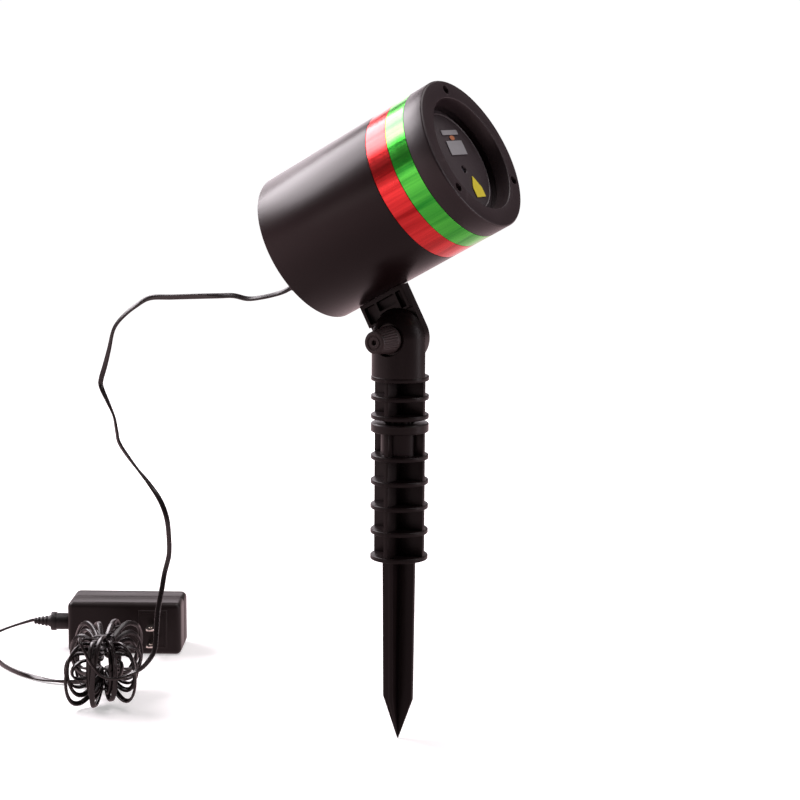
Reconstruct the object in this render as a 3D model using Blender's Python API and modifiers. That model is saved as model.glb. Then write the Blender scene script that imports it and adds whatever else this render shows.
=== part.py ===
"""Outdoor laser light projector on a garden stake, with its lead and plug-in adapter.

Metres, +Z up. The origin is the tip of the spike, where the floor is. The can points to +X and up,
it tilts about a line along Y through the stake's axis, and the clamp knob is on the -Y side.
The can's pieces are drawn in the can's own frame: Z forward along its axis, X down towards the
hinge, and the origin at the centre of its front face. Depths behind the front face are positive.
"""

import math

import bmesh
import bpy
import numpy as np
from mathutils import Matrix, Vector

# Clearances
GAP = 0.0003
SCREW_CLEARANCE = 0.0003

# Can
CAN_RADIUS = 0.0500
CAN_LENGTH = 0.1333
CAN_WALL = 0.0020
CAN_TILT = math.radians(28.3)
ARM_REACH = 0.0297
HINGE_DROP = CAN_RADIUS + ARM_REACH
ARM_BACK = 0.0994
EDGE_ROUND = 0.0010

# Foil bands: depths of their edges behind the front face
BAND_THICKNESS = 0.0005
GREEN_FRONT = 0.0143
GREEN_WIDTH = 0.0137
RED_WIDTH = 0.0153

# Front ring
BEZEL_SKIRT = 0.0140
BEZEL_FACE = 0.0030
MOUTH_RADIUS = 0.0379
MOUTH_FLOOR_RADIUS = 0.0362
MOUTH_TAPER = 0.0090
MOUTH_WALL_DEPTH = 0.0134
MOUTH_WALL = 0.0026
MOUTH_WALL_OUTER = MOUTH_FLOOR_RADIUS + MOUTH_WALL + 0.0010
SPIGOT_WALL = 0.0024
SPIGOT_END = 0.0230
BEZEL_SCREW_INSET = 0.0066
BEZEL_SCREW_CIRCLE = CAN_RADIUS - BEZEL_SCREW_INSET
BEZEL_SCREW_ANGLES = (176.0, -60.0, 62.0)
BEZEL_POST_RADIUS = 0.0042
SCREW_RADIUS = 0.0015
SCREW_HEAD_RADIUS = 0.0026
SCREW_WELL_DEPTH = 0.0060

# Face plate and optics
PLATE_DEPTH = 0.0116
PLATE_RADIUS = 0.0340
PLATE_THICKNESS = 0.0020
APERTURE = (0.0055, 0.0040)
APERTURE_RADIUS = 0.0026
WINDOW_RADIUS = 0.0047
WINDOW_THICKNESS = 0.0010
GRATING_THICKNESS = 0.0005
OPTICS_SIZE = (0.030, 0.022, 0.034)
MODULE_RADIUS = 0.0059
MODULE_LENGTH = 0.0290
RED_MODULE_LENGTH = 0.0210
MIRROR_DEPTH = 0.0250
MIRROR_CAVITY = 0.0120
MIRROR_THICKNESS = 0.0010

# Driver board on its three pads
BOARD_DEPTH = 0.0707
BOARD_MARGIN = 0.0035
BOARD_RADIUS = CAN_RADIUS - CAN_WALL - BOARD_MARGIN
BOARD_THICKNESS = 0.0016
PAD_LENGTH = 0.0120
PAD_RADIUS = 0.0045
PAD_INSET = 0.0040
PAD_CIRCLE = CAN_RADIUS - CAN_WALL - PAD_INSET
BOARD_SCREW_INSET = 0.0065
BOARD_SCREW_CIRCLE = CAN_RADIUS - CAN_WALL - BOARD_SCREW_INSET
REAR_ANGLES = (60.0, 180.0, 300.0)

# Rear cover and what it carries
COVER_RECESS = 0.0024
COVER_THICKNESS = 0.0024
GASKET_THICKNESS = 0.0010
LEDGE_WIDTH = 0.0055
LEDGE_RADIUS = CAN_RADIUS - CAN_WALL - LEDGE_WIDTH
LEDGE_THICKNESS = 0.0020
REAR_SCREW_INSET = 0.0075
REAR_SCREW_CIRCLE = CAN_RADIUS - CAN_WALL - REAR_SCREW_INSET
REAR_SCREW_HEAD = 0.0030
REAR_BOSS_RADIUS = 0.0040
REAR_BOSS_LENGTH = 0.0150
GLAND_PLACE = (0.0205, -0.0180)
GLAND_NECK_RADIUS = 0.0042
GLAND_FLANGE_RADIUS = 0.0065
GLAND_BOOT_LENGTH = 0.0145
GLAND_NUT = (0.0130, 0.0040)
SWITCH_NUT = (0.0150, 0.0022)
SWITCH_PLACE = (-0.0160, 0.0)
SWITCH_BUSH_RADIUS = 0.0058
SWITCH_BODY_RADIUS = 0.0080
SWITCH_BODY_LENGTH = 0.0160
BUTTON_RADIUS = 0.0039
BUTTON_TRAVEL = 0.0015
BUTTON_PROUD = 0.0026

# Arm
ARM_HALF_WIDTH = 0.0172
ARM_NEAR = -0.0020
ARM_FAR = 0.0078
RECESS_RADIUS = 0.0190
RECESS_REACH = 0.0142
ARM_FOOT = 0.0030
ARM_SCREW_OFFSET = 0.0110
ARM_SCREW_LENGTH = 0.0120
HUB_RADIUS = 0.0095
HUB_FAR = 0.0115
RIB_PLACES = (-0.0055, 0.0098)
RIB_WIDTH = 0.0014
POCKET_DEPTH = 0.0040
ARM_SCREW_Y = (ARM_NEAR + POCKET_DEPTH + ARM_FAR) / 2
ARM_RIM = 0.0024

# Knuckle clamp
HINGE_HEIGHT = 0.2633
TOOTH_COUNT = 34
TOOTH_INNER_RADIUS = 0.0060
TOOTH_HEIGHT = 0.0007
MATE_GAP = 0.00025
BOLT_RADIUS = 0.0029
SPOT_FACE = 0.0125
WASHER_RADIUS = 0.0100
SPOT_MARGIN = 0.0006
WASHER_THICKNESS = 0.0012
KNOB_FRONT = 0.0336
KNOB_BASE_RADIUS = 0.0089
SPOT_RADIUS = max(WASHER_RADIUS, KNOB_BASE_RADIUS) + SPOT_MARGIN
KNOB_NOSE_RADIUS = 0.0072
NUT_FLATS = 0.0100
NUT_THICKNESS = 0.0050
NUT_POCKET_FLOOR = 0.0060

# Neck post and stake
POST_RADIUS = 0.0182
DISC_RADIUS = 0.0185
DISC_THICKNESS = 0.0029
POST_BOTTOM = 0.2362
NECK_DISCS = (0.2376, 0.2254, 0.2131)
STAKE_DISCS = (0.1870, 0.1710, 0.1549, 0.1387, 0.1217)
BLADE_RADIUS = 0.0178
BLADE_THICKNESS = 0.0030
COLLAR_BOTTOM = 0.2031
COLLAR_TOP = 0.2089
PEG_RADIUS = 0.0093
PEG_SPLINES = 14
PEG_SPLINE_DEPTH = 0.0010
PEG_BOTTOM = 0.1898
SOCKET_WALL = 0.0026
SPIKE_TOP_RADIUS = 0.0115
SPIKE_LOW_RADIUS = 0.0105
SPIKE_TAPER = 0.0275
TIP_RADIUS = 0.0004

# Lead
CORD_DIAMETER = 0.0027
CORD_STEP = 0.0083
JUNCTION = (-0.1625, -0.0200, 0.2815)
LEAD_ROUTE = (
    (-0.0755, -0.0185, 0.2899),
    (-0.0815, -0.0190, 0.2878),
    (-0.0910, -0.0200, 0.2854),
    (-0.1020, -0.0200, 0.2838),
    (-0.1130, -0.0200, 0.2852),
    (-0.1240, -0.0200, 0.2845),
    (-0.1400, -0.0200, 0.2833),
)
DROP_ROUTE = (
    (-0.1800, -0.0200, 0.2800),
    (-0.1915, -0.0200, 0.2740),
    (-0.2000, -0.0200, 0.2680),
    (-0.2070, -0.0200, 0.2615),
    (-0.2110, -0.0200, 0.2550),
    (-0.2143, -0.0200, 0.2430),
    (-0.2180, -0.0200, 0.2315),
    (-0.2215, -0.0200, 0.2215),
    (-0.2212, -0.0200, 0.2165),
    (-0.2160, -0.0200, 0.2070),
    (-0.2110, -0.0200, 0.1975),
    (-0.2088, -0.0200, 0.1875),
    (-0.2065, -0.0200, 0.1790),
    (-0.1955, -0.0200, 0.1665),
    (-0.1825, -0.0200, 0.1540),
    (-0.1735, -0.0200, 0.1435),
    (-0.1685, -0.0200, 0.1330),
    (-0.1667, -0.0200, 0.1220),
    (-0.1665, -0.0200, 0.1070),
    (-0.1689, -0.0220, 0.0940),
    (-0.1687, -0.0260, 0.0824),
    (-0.1682, -0.0310, 0.0704),
    (-0.1660, -0.0360, 0.0587),
    (-0.1638, -0.0410, 0.0470),
    (-0.1650, -0.0445, 0.0408),
    (-0.1694, -0.0465, 0.0348),
    (-0.1758, -0.0459, 0.0304),
    (-0.1823, -0.0506, 0.0269),
    (-0.1890, -0.0550, 0.0254),
    (-0.1956, -0.0594, 0.0279),
    (-0.2011, -0.0620, 0.0354),
    (-0.2066, -0.0627, 0.0444),
    (-0.2108, -0.0618, 0.0499),
)
TAIL_ROUTE = (
    (-0.2167, 0.0134, 0.0409),
    (-0.2179, 0.0161, 0.0304),
    (-0.2223, 0.0156, 0.0164),
    (-0.2285, 0.0122, 0.0059),
    (-0.2371, 0.0071, 0.0022),
    (-0.2465, -0.0004, 0.0021),
    (-0.2552, -0.0109, 0.0021),
    (-0.2750, -0.0170, 0.0021),
    (-0.3000, -0.0140, 0.0021),
    (-0.3250, -0.0040, 0.0021),
    (-0.3470, 0.0110, 0.0026),
    (-0.3615, 0.0240, 0.0048),
    (-0.3675, 0.0390, 0.0110),
)

# Hank: loops stand on edge, side by side, and its runs point forwards along HANK_HEADING
HANK_CENTRE = (-0.2170, -0.0270, 0.0258)
HANK_HEADING = math.radians(-56.6)
HANK_TURNS = 15.0 + 7.0 / 24.0
HANK_START = math.radians(45.0)
LOOPS_A_LAYER = 4
LAYERS = 4
POINTS_A_LOOP = 24
WAIST_INNER = 0.0022
WAIST_STEP = 0.0036
SPREAD_INNER = 0.0140
SPREAD_STEP = 0.0100
RUN_INNER = 0.0200
RUN_STEP = 0.0036
LAYER_STEP = 0.0033
LAYER_FAN = 3.6
CLIMB_TURNS = 0.25
TIE_CLEARANCE = 0.0006
TIE_THICKNESS = 0.0008
TIE_WIDTH = 0.0040

# Adapter, in its own frame: X along its length, Y away from the plug face, Z up
ADAPTER_PLACE = (-0.2818, 0.0879)
ADAPTER_TURN = math.radians(28.0)
ADAPTER_SIZE = (0.0845, 0.0415, 0.0395)
ADAPTER_WALL = 0.0020
ADAPTER_ROUND = 0.0035
PLUG_PANEL = (0.0215, 0.0008, 0.0290)
PLUG_PLACE = 0.0215
PRONG_DROP = 0.0025
PRONG_SIZE = (0.00635, 0.0235, 0.0015)
PRONG_SPACING = 0.0127
PRONG_INSIDE = 0.0060
RELIEF_NECK_RADIUS = 0.0045
RELIEF_BODY_RADIUS = 0.0062
RELIEF_RING_RADIUS = 0.0070
RELIEF_BODY_LENGTH = 0.0115
RELIEF_RING_LENGTH = 0.0036
RELIEF_BOOT_LENGTH = 0.0130
BOARD_IN_ADAPTER = 0.0016
TRANSFORMER_SIZE = (0.0220, 0.0120, 0.0200)

# Facets
ROUND_SIDES = 32
DISC_SIDES = 24
MEDIUM_SIDES = 16
SMALL_SIDES = 10
ARC_STEPS = 15
DOME_STEPS = 8
CORNER_STEPS = 3
CORD_SIDES_RESOLUTION = 2
HANK_SIDES_RESOLUTION = 1

BLACK = (0.020, 0.016, 0.016)
RUBBER = (0.014, 0.012, 0.012)
CAN_BROWN = (0.050, 0.038, 0.038)
STEEL = (0.55, 0.55, 0.56)
ALUMINIUM = (0.62, 0.62, 0.64)
BRASS = (0.70, 0.52, 0.24)

for old in list(bpy.data.objects):
    bpy.data.objects.remove(old, do_unlink=True)

PARTS = bpy.data.collections.new("outdoor_laser_light_projector")
CUTTERS = bpy.data.collections.new("cutters")
bpy.context.scene.collection.children.link(PARTS)
bpy.context.scene.collection.children.link(CUTTERS)


def material(name, colour, roughness, metallic=0.0, alpha=1.0):
    """A plain finish."""
    made = bpy.data.materials.new(name)
    made.use_nodes = True
    shader = made.node_tree.nodes["Principled BSDF"]
    shader.inputs["Base Color"].default_value = (*colour, 1.0)
    shader.inputs["Roughness"].default_value = roughness
    shader.inputs["Metallic"].default_value = metallic
    shader.inputs["Alpha"].default_value = alpha
    return made


def empty(name, location, parent=None, rotation=(0.0, 0.0, 0.0)):
    made = bpy.data.objects.new(name, None)
    made.location = location
    made.rotation_euler = rotation
    made.parent = parent
    PARTS.objects.link(made)
    return made


def cutter(mesh, parent=None):
    """An object that only shapes another one."""
    made = bpy.data.objects.new("cutter", mesh)
    made.parent = parent
    made.hide_render = True
    made.display_type = "WIRE"
    CUTTERS.objects.link(made)
    return made


def piece(name, mesh, finish, parent=None):
    """A piece of the projector, placed where its mesh is in the parent's frame."""
    made = bpy.data.objects.new(name, mesh)
    made.parent = parent
    colour, roughness, metallic = finish
    mesh.materials.clear()
    mesh.materials.append(material(name, colour, roughness, metallic))
    PARTS.objects.link(made)
    return made


def shape(target, mesh, operation):
    """Cuts, joins or keeps what is common, with another mesh in the same frame."""
    other = cutter(mesh, target.parent)
    modifier = target.modifiers.new(operation.lower(), "BOOLEAN")
    modifier.operation = operation
    modifier.solver = "EXACT"
    modifier.object = other
    return other


def cut(target, *meshes):
    for mesh in meshes:
        shape(target, mesh, "DIFFERENCE")


def join(target, *meshes):
    for mesh in meshes:
        shape(target, mesh, "UNION")


def finished(bm, name):
    mesh = bpy.data.meshes.new(name)
    bm.to_mesh(mesh)
    bm.free()
    mesh.shade_smooth()
    mesh.set_sharp_from_angle(angle=math.radians(30.0))
    return mesh


def block(size, centre, edge=0.0, turn=0.0):
    """A box, with its edges rounded if asked, turned about Y through its centre."""
    bm = bmesh.new()
    bmesh.ops.create_cube(bm, size=1.0)
    bmesh.ops.scale(bm, vec=size, verts=bm.verts)
    if edge:
        bmesh.ops.bevel(
            bm, geom=list(bm.edges), offset=edge, segments=2, profile=0.5, affect="EDGES"
        )
    if turn:
        bmesh.ops.rotate(bm, verts=bm.verts, cent=(0, 0, 0), matrix=Matrix.Rotation(turn, 3, "Y"))
    bmesh.ops.translate(bm, verts=bm.verts, vec=centre)
    return finished(bm, "block")


def rod(radius, start, end, sides=SMALL_SIDES, top_radius=None):
    """A cylinder or cone from one point to another."""
    start, end = Vector(start), Vector(end)
    along = end - start
    bm = bmesh.new()
    bmesh.ops.create_cone(
        bm,
        cap_ends=True,
        segments=sides,
        radius1=radius,
        radius2=radius if top_radius is None else top_radius,
        depth=along.length,
    )
    turn = Vector((0, 0, 1)).rotation_difference(along.normalized()).to_matrix().to_4x4()
    bm.transform(Matrix.Translation((start + end) / 2) @ turn)
    return finished(bm, "rod")


def turned(profile, sides=ROUND_SIDES, centre=(0.0, 0.0, 0.0), axis="Z"):
    """A turned solid. The profile is (radius, height) down the outer side and up the inner one."""
    mesh = bpy.data.meshes.new("profile")
    points = [(r, 0.0, z) for r, z in profile]
    links = [(k, k + 1) for k in range(len(points) - 1)]
    if profile[0][0] > 0.0:
        links.append((len(points) - 1, 0))
    mesh.from_pydata(points, links, [])
    guide = cutter(mesh)
    screw = guide.modifiers.new("turn", "SCREW")
    screw.steps = sides
    screw.render_steps = sides
    screw.use_merge_vertices = True
    screw.merge_threshold = 0.00001
    bpy.context.view_layer.update()
    evaluated = guide.evaluated_get(bpy.context.evaluated_depsgraph_get())
    made = bpy.data.meshes.new_from_object(evaluated)
    bpy.data.objects.remove(guide)
    turn = Matrix.Identity(4)
    if axis == "-Y":
        turn = Matrix.Rotation(math.radians(90.0), 4, "X")
    if axis == "-X":
        turn = Matrix.Rotation(math.radians(-90.0), 4, "Y")
    made.transform(Matrix.Translation(centre) @ turn)
    made.shade_smooth()
    made.set_sharp_from_angle(angle=math.radians(30.0))
    return made


def slab(outline, low, high):
    """A flat outline in the XZ plane, standing from low to high along Y."""
    curve = bpy.data.curves.new("outline", "CURVE")
    curve.dimensions = "2D"
    curve.fill_mode = "BOTH"
    curve.extrude = (high - low) / 2
    spline = curve.splines.new("POLY")
    spline.points.add(len(outline) - 1)
    for point, (x, z) in zip(spline.points, outline):
        point.co = (x, z, 0.0, 1.0)
    spline.use_cyclic_u = True
    guide = cutter(curve)
    bpy.context.view_layer.update()
    evaluated = guide.evaluated_get(bpy.context.evaluated_depsgraph_get())
    bm = bmesh.new()
    made = bpy.data.meshes.new_from_object(evaluated)
    bm.from_mesh(made)
    bpy.data.objects.remove(guide)
    bmesh.ops.remove_doubles(bm, verts=bm.verts, dist=0.000001)
    bm.transform(
        Matrix.Translation((0, (low + high) / 2, 0)) @ Matrix.Rotation(math.radians(90.0), 4, "X")
    )
    bmesh.ops.recalc_face_normals(bm, faces=bm.faces)
    return finished(bm, "slab")


def arc(centre, radius, start, end, steps):
    """Points along an arc, angles in degrees."""
    turns = [math.radians(start + (end - start) * k / steps) for k in range(steps + 1)]
    return [(centre[0] + radius * math.cos(a), centre[1] + radius * math.sin(a)) for a in turns]


def serrated(radius, face, back):
    """A disc along Y whose end at face has radial teeth round a plain middle."""
    depth = abs(face - back)
    middle = depth - TOOTH_HEIGHT / 2
    disc = turned(
        [(0.0, middle), (TOOTH_INNER_RADIUS, middle), (radius, depth), (radius, 0.0), (0.0, 0.0)],
        2 * TOOTH_COUNT,
    )
    bm = bmesh.new()
    bm.from_mesh(disc)
    for vert in bm.verts:
        if abs(vert.co.z - depth) < 1e-6:
            step = math.atan2(vert.co.y, vert.co.x) / math.tau * 2 * TOOTH_COUNT
            if round(step) % 2:
                vert.co.z = depth - TOOTH_HEIGHT
    bmesh.ops.triangulate(bm, faces=bm.faces)
    half_tooth = Matrix.Rotation(math.pi / (2 * TOOTH_COUNT), 4, "Z")
    side = 90.0 if face < back else -90.0
    bm.transform(
        Matrix.Translation((0, back, 0)) @ Matrix.Rotation(math.radians(side), 4, "X") @ half_tooth
    )
    return finished(bm, "serrated")


def splined(radius, depth, count, low, high):
    """A rod along Z with splines."""
    bm = bmesh.new()
    bmesh.ops.create_cone(
        bm, cap_ends=True, segments=2 * count, radius1=radius, radius2=radius, depth=high - low
    )
    bmesh.ops.translate(bm, verts=bm.verts, vec=(0, 0, (low + high) / 2))
    for vert in bm.verts:
        step = math.atan2(vert.co.y, vert.co.x) / math.tau * 2 * count
        if round(step) % 2:
            vert.co.xy *= (radius - depth) / radius
    return finished(bm, "splined")


def hexagon(flats, start, end):
    """A hexagonal prism from one point to another."""
    return rod(flats / math.sqrt(3.0), start, end, 6)


def polar(radius, degrees):
    """A place in the can's frame, the angle from straight down towards +Y."""
    a = math.radians(degrees)
    return radius * math.cos(a), radius * math.sin(a)


def tube(name, points, diameter, finish, resolution):
    """A round cord along the points."""
    curve = bpy.data.curves.new(name, "CURVE")
    curve.dimensions = "3D"
    curve.bevel_depth = diameter / 2
    curve.bevel_resolution = resolution
    curve.use_fill_caps = True
    spline = curve.splines.new("POLY")
    spline.points.add(len(points) - 1)
    for point, place in zip(spline.points, points):
        point.co = (*place, 1.0)
    made = bpy.data.objects.new(name, curve)
    curve.materials.append(material(name, *finish))
    PARTS.objects.link(made)
    return made


def smooth_route(route, step):
    """Points at an even spacing on a smooth curve through the route's own points."""
    p = np.array(route, float)
    p = np.vstack([2 * p[0] - p[1], p, 2 * p[-1] - p[-2]])
    dense = []
    for k in range(1, len(p) - 2):
        for t in np.linspace(0.0, 1.0, 24, endpoint=False):
            a = 2 * p[k]
            b = p[k + 1] - p[k - 1]
            c = 2 * p[k - 1] - 5 * p[k] + 4 * p[k + 1] - p[k + 2]
            d = 3 * p[k] - p[k - 1] - 3 * p[k + 1] + p[k + 2]
            dense.append(0.5 * (a + b * t + c * t * t + d * t**3))
    dense = np.array(dense + [p[-2]])
    run = np.concatenate([[0.0], np.cumsum(np.linalg.norm(np.diff(dense, axis=0), axis=1))])
    count = max(3, round(run[-1] / step))
    wanted = np.linspace(0.0, run[-1], count + 1)
    return np.stack([np.interp(wanted, run, dense[:, k]) for k in range(3)], 1)


def length_of(points):
    return float(np.linalg.norm(np.diff(np.array(points), axis=0), axis=1).sum())


# Frames of the moving pieces
PIVOT = empty("head_pivot", (0, 0, HINGE_HEIGHT), rotation=(0, math.radians(90.0) - CAN_TILT, 0))
CAN = empty("can_frame", (-HINGE_DROP, 0, ARM_BACK), PIVOT)
CLAMP = empty("clamp_axis", (0, 0, HINGE_HEIGHT))
ADAPTER = empty("adapter_frame", (*ADAPTER_PLACE, 0), rotation=(0, 0, ADAPTER_TURN))
bpy.context.view_layer.update()

PLASTIC = (BLACK, 0.45, 0.0)
PAINTED = (CAN_BROWN, 0.38, 0.3)
METAL = (STEEL, 0.3, 1.0)
SOFT = (RUBBER, 0.6, 0.0)


def make_housing():
    """The painted can, with ledges for both seals and bosses for every screw."""
    inner = CAN_RADIUS - CAN_WALL
    groove = CAN_RADIUS - BAND_THICKNESS - GAP
    front = BEZEL_SKIRT + GAP
    band_end = GREEN_FRONT + GREEN_WIDTH + RED_WIDTH + 2 * GAP
    ledge = COVER_RECESS + COVER_THICKNESS + GASKET_THICKNESS + 2 * GAP
    ledge_top = CAN_LENGTH - ledge
    seat = SPIGOT_END + 2 * GAP + GASKET_THICKNESS
    body = piece(
        "housing",
        turned(
            [
                (groove, -front),
                (groove, -band_end),
                (CAN_RADIUS, -band_end),
                (CAN_RADIUS, EDGE_ROUND - CAN_LENGTH),
                (CAN_RADIUS - EDGE_ROUND, -CAN_LENGTH),
                (inner, -CAN_LENGTH),
                (inner, -ledge_top),
                (LEDGE_RADIUS, -ledge_top),
                (LEDGE_RADIUS, LEDGE_THICKNESS - ledge_top),
                (inner, LEDGE_THICKNESS - ledge_top),
                (inner, -seat - LEDGE_THICKNESS),
                (LEDGE_RADIUS, -seat - LEDGE_THICKNESS),
                (LEDGE_RADIUS, -seat),
                (inner, -seat),
                (inner, -front),
            ]
        ),
        PAINTED,
        CAN,
    )
    boss_end = seat + 0.0150
    for angle in BEZEL_SCREW_ANGLES:
        x, y = polar(BEZEL_SCREW_CIRCLE, angle)
        join(body, rod(BEZEL_POST_RADIUS, (x, y, -boss_end), (x, y, -seat)))
    for angle in REAR_ANGLES:
        x, y = polar(REAR_SCREW_CIRCLE, angle)
        join(
            body,
            rod(REAR_BOSS_RADIUS, (x, y, -ledge_top), (x, y, REAR_BOSS_LENGTH - ledge_top)),
        )
        x, y = polar(PAD_CIRCLE, angle)
        top = -BOARD_DEPTH - BOARD_THICKNESS - GAP
        join(body, rod(PAD_RADIUS, (x, y, top - PAD_LENGTH), (x, y, top)))
    for angle in BEZEL_SCREW_ANGLES:
        x, y = polar(BEZEL_SCREW_CIRCLE, angle)
        bore = SCREW_RADIUS + SCREW_CLEARANCE
        cut(body, rod(bore, (x, y, GAP - boss_end + 0.0020), (x, y, 0.0)))
    for angle in REAR_ANGLES:
        x, y = polar(REAR_SCREW_CIRCLE, angle)
        bore = SCREW_RADIUS + SCREW_CLEARANCE
        cut(
            body,
            rod(bore, (x, y, -CAN_LENGTH), (x, y, REAR_BOSS_LENGTH - ledge_top - 0.0020)),
        )
        x, y = polar(BOARD_SCREW_CIRCLE, angle)
        top = -BOARD_DEPTH - BOARD_THICKNESS
        cut(body, rod(bore, (x, y, top - PAD_LENGTH + 0.0020), (x, y, top + 0.0010)))
    for offset in (-ARM_SCREW_OFFSET, ARM_SCREW_OFFSET):
        z = offset - ARM_BACK
        y = ARM_SCREW_Y
        bore = SCREW_RADIUS + SCREW_CLEARANCE
        cut(body, rod(bore, (inner - 0.0020, y, z), (CAN_RADIUS + 0.0020, y, z)))


def make_bands():
    outer = CAN_RADIUS
    inner = CAN_RADIUS - BAND_THICKNESS
    edges = (
        ("green_band", GREEN_FRONT, GREEN_FRONT + GREEN_WIDTH, (0.02, 0.55, 0.06)),
        (
            "red_band",
            GREEN_FRONT + GREEN_WIDTH + GAP,
            GREEN_FRONT + GREEN_WIDTH + GAP + RED_WIDTH,
            (0.75, 0.03, 0.03),
        ),
    )
    for name, front, back, colour in edges:
        ring = turned([(outer, -front), (outer, -back), (inner, -back), (inner, -front)])
        piece(name, ring, (colour, 0.2, 0.8), CAN)


def make_front():
    """The front ring, its screws, its seal and the face plate with its window."""
    spigot = CAN_RADIUS - CAN_WALL - GAP
    wall_outer = MOUTH_WALL_OUTER
    bezel = piece(
        "front_bezel",
        turned(
            [
                (CAN_RADIUS - EDGE_ROUND, 0.0),
                (CAN_RADIUS, -EDGE_ROUND),
                (CAN_RADIUS, -BEZEL_SKIRT),
                (spigot, -BEZEL_SKIRT),
                (spigot, -SPIGOT_END),
                (spigot - SPIGOT_WALL, -SPIGOT_END),
                (spigot - SPIGOT_WALL, -BEZEL_FACE),
                (wall_outer, -BEZEL_FACE),
                (wall_outer, -MOUTH_WALL_DEPTH),
                (wall_outer - MOUTH_WALL, -MOUTH_WALL_DEPTH),
                (wall_outer - MOUTH_WALL, -MOUTH_TAPER - 0.0006),
                (MOUTH_FLOOR_RADIUS, -MOUTH_TAPER),
                (MOUTH_RADIUS, -0.0005),
                (MOUTH_RADIUS + 0.0005, 0.0),
            ]
        ),
        PLASTIC,
        CAN,
    )
    for angle in BEZEL_SCREW_ANGLES:
        x, y = polar(BEZEL_SCREW_CIRCLE, angle)
        join(bezel, rod(BEZEL_POST_RADIUS, (x, y, -SPIGOT_END), (x, y, -BEZEL_FACE / 2)))
    for number, angle in enumerate(BEZEL_SCREW_ANGLES, 1):
        x, y = polar(BEZEL_SCREW_CIRCLE, angle)
        bore = SCREW_RADIUS + SCREW_CLEARANCE
        cut(bezel, rod(bore, (x, y, -SPIGOT_END - 0.0010), (x, y, 0.0010)))
        well = SCREW_HEAD_RADIUS + SCREW_CLEARANCE
        cut(bezel, rod(well, (x, y, -SCREW_WELL_DEPTH), (x, y, 0.0010)))
        head = GAP - SCREW_WELL_DEPTH
        screw = turned(
            [
                (0.0, head + 0.0014),
                (SCREW_HEAD_RADIUS, head + 0.0012),
                (SCREW_HEAD_RADIUS, head),
                (SCREW_RADIUS, head),
                (SCREW_RADIUS, -SPIGOT_END - 0.0100),
                (0.0, -SPIGOT_END - 0.0110),
            ],
            SMALL_SIDES,
            (x, y, 0.0),
        )
        piece(f"bezel_screw_{number}", screw, METAL, CAN)
    outer = CAN_RADIUS - CAN_WALL - GAP
    high = -SPIGOT_END - GAP
    gasket = piece(
        "front_gasket",
        turned(
            [
                (outer, high),
                (outer, high - GASKET_THICKNESS),
                (LEDGE_RADIUS - 0.0020, high - GASKET_THICKNESS),
                (LEDGE_RADIUS - 0.0020, high),
            ]
        ),
        SOFT,
        CAN,
    )
    for angle in BEZEL_SCREW_ANGLES:
        x, y = polar(BEZEL_SCREW_CIRCLE, angle)
        cut(gasket, rod(SCREW_RADIUS + SCREW_CLEARANCE, (x, y, high - 0.01), (x, y, high + 0.01)))
    flange = MOUTH_WALL_DEPTH + GAP
    flange_radius = BEZEL_SCREW_CIRCLE - BEZEL_POST_RADIUS - GAP
    back = flange + PLATE_THICKNESS
    plate = piece(
        "face_plate",
        turned(
            [
                (0.0, -PLATE_DEPTH),
                (PLATE_RADIUS - 0.0006, -PLATE_DEPTH),
                (PLATE_RADIUS, -PLATE_DEPTH - 0.0006),
                (PLATE_RADIUS, -flange),
                (flange_radius, -flange),
                (flange_radius, -back),
                (0.0, -back),
            ]
        ),
        ((0.055, 0.045, 0.045), 0.5, 0.0),
        CAN,
    )
    x, y = APERTURE
    seat = back - GAP - GRATING_THICKNESS - GAP - WINDOW_THICKNESS - GAP
    cut(
        plate,
        rod(WINDOW_RADIUS + GAP, (x, y, -back - 0.0010), (x, y, -seat), MEDIUM_SIDES),
        rod(APERTURE_RADIUS, (x, y, -back), (x, y, 0.0)),
        rod(
            APERTURE_RADIUS,
            (x, y, -PLATE_DEPTH - 0.0012),
            (x, y, -PLATE_DEPTH + 0.0006),
            SMALL_SIDES,
            APERTURE_RADIUS + 0.0018,
        ),
    )
    window = rod(WINDOW_RADIUS, (x, y, -seat - GAP - WINDOW_THICKNESS), (x, y, -seat - GAP), MEDIUM_SIDES)
    piece("aperture_window", window, ((0.85, 0.9, 0.95), 0.05, 0.0), CAN)
    grating = rod(WINDOW_RADIUS, (x, y, GAP - back), (x, y, GAP - back + GRATING_THICKNESS), MEDIUM_SIDES)
    piece("grating_disc", grating, ((0.7, 0.75, 0.85), 0.1, 0.4), CAN)
    return back


def make_labels():
    """Blank stickers on the face plate."""
    low = GAP - PLATE_DEPTH
    high = low + 0.0003
    silver = ((0.55, 0.55, 0.56), 0.35, 0.3)
    yellow = ((0.72, 0.62, 0.05), 0.45, 0.0)
    orange = ((0.60, 0.22, 0.08), 0.4, 0.0)
    middle = (low + high) / 2
    piece("label_strip", block((0.0032, 0.0204, 0.0003), (-0.0195, 0.0055, middle)), silver, CAN)
    piece("label_block", block((0.0096, 0.0204, 0.0003), (-0.0090, 0.0060, middle)), silver, CAN)
    oval = rod(0.0030, (0, 0, low), (0, 0, high), MEDIUM_SIDES)
    oval.transform(Matrix.Translation((-0.0158, 0.0058, 0)) @ Matrix.Diagonal((0.55, 1, 1, 1)))
    piece("label_oval", oval, orange, CAN)
    # a house-shaped outline, its roof towards the aperture
    outline = (
        (0.0250, 0.0035),
        (0.0250, 0.0150),
        (0.0185, 0.0150),
        (0.0105, 0.0092),
        (0.0185, 0.0035),
    )
    house = slab(outline, -high, -low)
    house.transform(Matrix.Rotation(math.radians(-90.0), 4, "X"))
    piece("label_house", house, yellow, CAN)


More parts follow.
